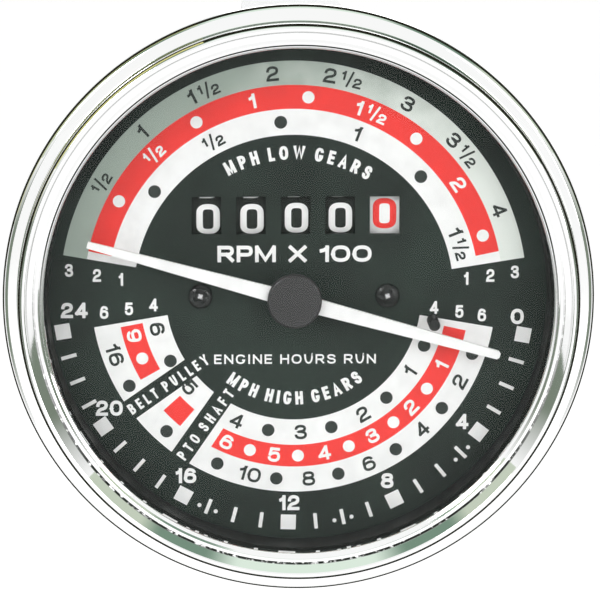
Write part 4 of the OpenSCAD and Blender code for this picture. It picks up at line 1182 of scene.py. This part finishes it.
# Cards: each has its near and far rim by radius and distance before the panel, and its ends are
# in degrees round the dial's axis.
HORIZON = (0.02, 0.022, 0.014)
CARD_MINT = (0.76, 0.88, 0.77)
CARD_GREY = (0.58, 0.65, 0.53)
CARD_POST = (0.19, 0.29, 0.22)
CARD_WARM = (0.75, 0.72, 0.3)
CARD_SIDE = (0.2, 0.24, 0.19)
CLEAR = (1, 1, 1)
HORIZON_RIMS = [(0.15, -0.07), (0.15, 0.007)]
HORIZON_RISE = 0.02
WARM_RIMS = [(0.08, 0.0085), (0.08, 0.011)]
RIGHT_RIMS = [(0.15, 0.056), (0.15, 0.2)]
LEFT_RIMS = [(0.15, 0.068), (0.15, 0.2)]
NEAR_RIMS = [(0.07, 0.0085), (0.07, 0.0269)]
CEILING_RIMS = [(0.3, 0.045), (0.2, 0.12)]
RIGHT_ENDS = (-28, 28)
LEFT_ENDS = (152, 208)
CARD_STEPS = 96


def ring_card(name, rims, ends, material, rise=0.0):
    """A band round the dial's axis between two rims. Its far rim rises towards the top. Only
    polished metal and glass reflect it."""
    near, far = rims
    points = []
    for i in range(CARD_STEPS + 1):
        angle = math.radians(ends[0] + (ends[1] - ends[0]) * i / CARD_STEPS)
        lift = rise * math.sqrt(max(0, math.sin(angle)))
        for r, front in (near, (far[0], far[1] + lift)):
            points.append((r * math.cos(angle), -front, r * math.sin(angle)))
    mesh = bpy.data.meshes.new(name)
    mesh.from_pydata(points, [], [(2 * i, 2 * i + 1, 2 * i + 3, 2 * i + 2) for i in range(CARD_STEPS)])
    mesh.materials.append(material)
    card = add_object(name, mesh)
    for ray in ("camera", "diffuse", "shadow", "transmission"):
        setattr(card, f"visible_{ray}", False)


def add_cards():
    """What the chrome reflects: a dark gap along the horizon with a warm glint, a mint ceiling
    with two posts, and on either side a grey wall and a lower one close to the bezel."""
    horizon = card_material("horizon_dark", [(-180, HORIZON), (180, HORIZON)])
    ring_card("horizon_card", HORIZON_RIMS, (0, 360), horizon, HORIZON_RISE)
    warm = card_material("horizon_warm", [(-180, CARD_WARM), (180, CARD_WARM)])
    ring_card("warm_card", WARM_RIMS, (110, 165), warm)
    side = card_material("side_dark", [
        (-180, CARD_SIDE), (-168, CARD_SIDE), (-152, CLEAR), (-28, CLEAR), (-12, CARD_SIDE),
        (12, CARD_SIDE), (28, CLEAR), (152, CLEAR), (168, CARD_SIDE), (180, CARD_SIDE)])
    ring_card("side_card_right", RIGHT_RIMS, RIGHT_ENDS, side)
    ring_card("side_card_left", LEFT_RIMS, LEFT_ENDS, side)
    ring_card("near_card_right", NEAR_RIMS, RIGHT_ENDS, side)
    ring_card("near_card_left", NEAR_RIMS, LEFT_ENDS, side)
    ceiling = card_material("ceiling", [
        (5, CARD_GREY), (45, CARD_GREY), (50, CARD_POST), (64, CARD_POST), (72, CARD_MINT),
        (108, CARD_MINT), (116, CARD_POST), (130, CARD_POST), (135, CARD_GREY), (175, CARD_GREY)])
    ring_card("ceiling_card", CEILING_RIMS, (8, 172), ceiling)


def add_lamps():
    for name, place, size, power in LAMPS:
        data = bpy.data.lights.new(name, "AREA")
        data.shape = "RECTANGLE"
        data.size, data.size_y = size
        data.energy = power
        lamp = add_object(name, data)
        lamp.location = place
        lamp.rotation_euler = (-Vector(place)).to_track_quat("-Z", "Y").to_euler()
        lamp.visible_camera = False


add_camera()
add_world()
add_floor()
add_cards()
add_lamps()
dress_nodes()
upper_bands()
lower_bands()
band_figures()
speed_ring()
dial_lettering()
drum_figures()
bezel_piece()
cap_piece()
screw_pieces()
bare_recesses()

bpy.context.scene.view_settings.view_transform = "Standard"
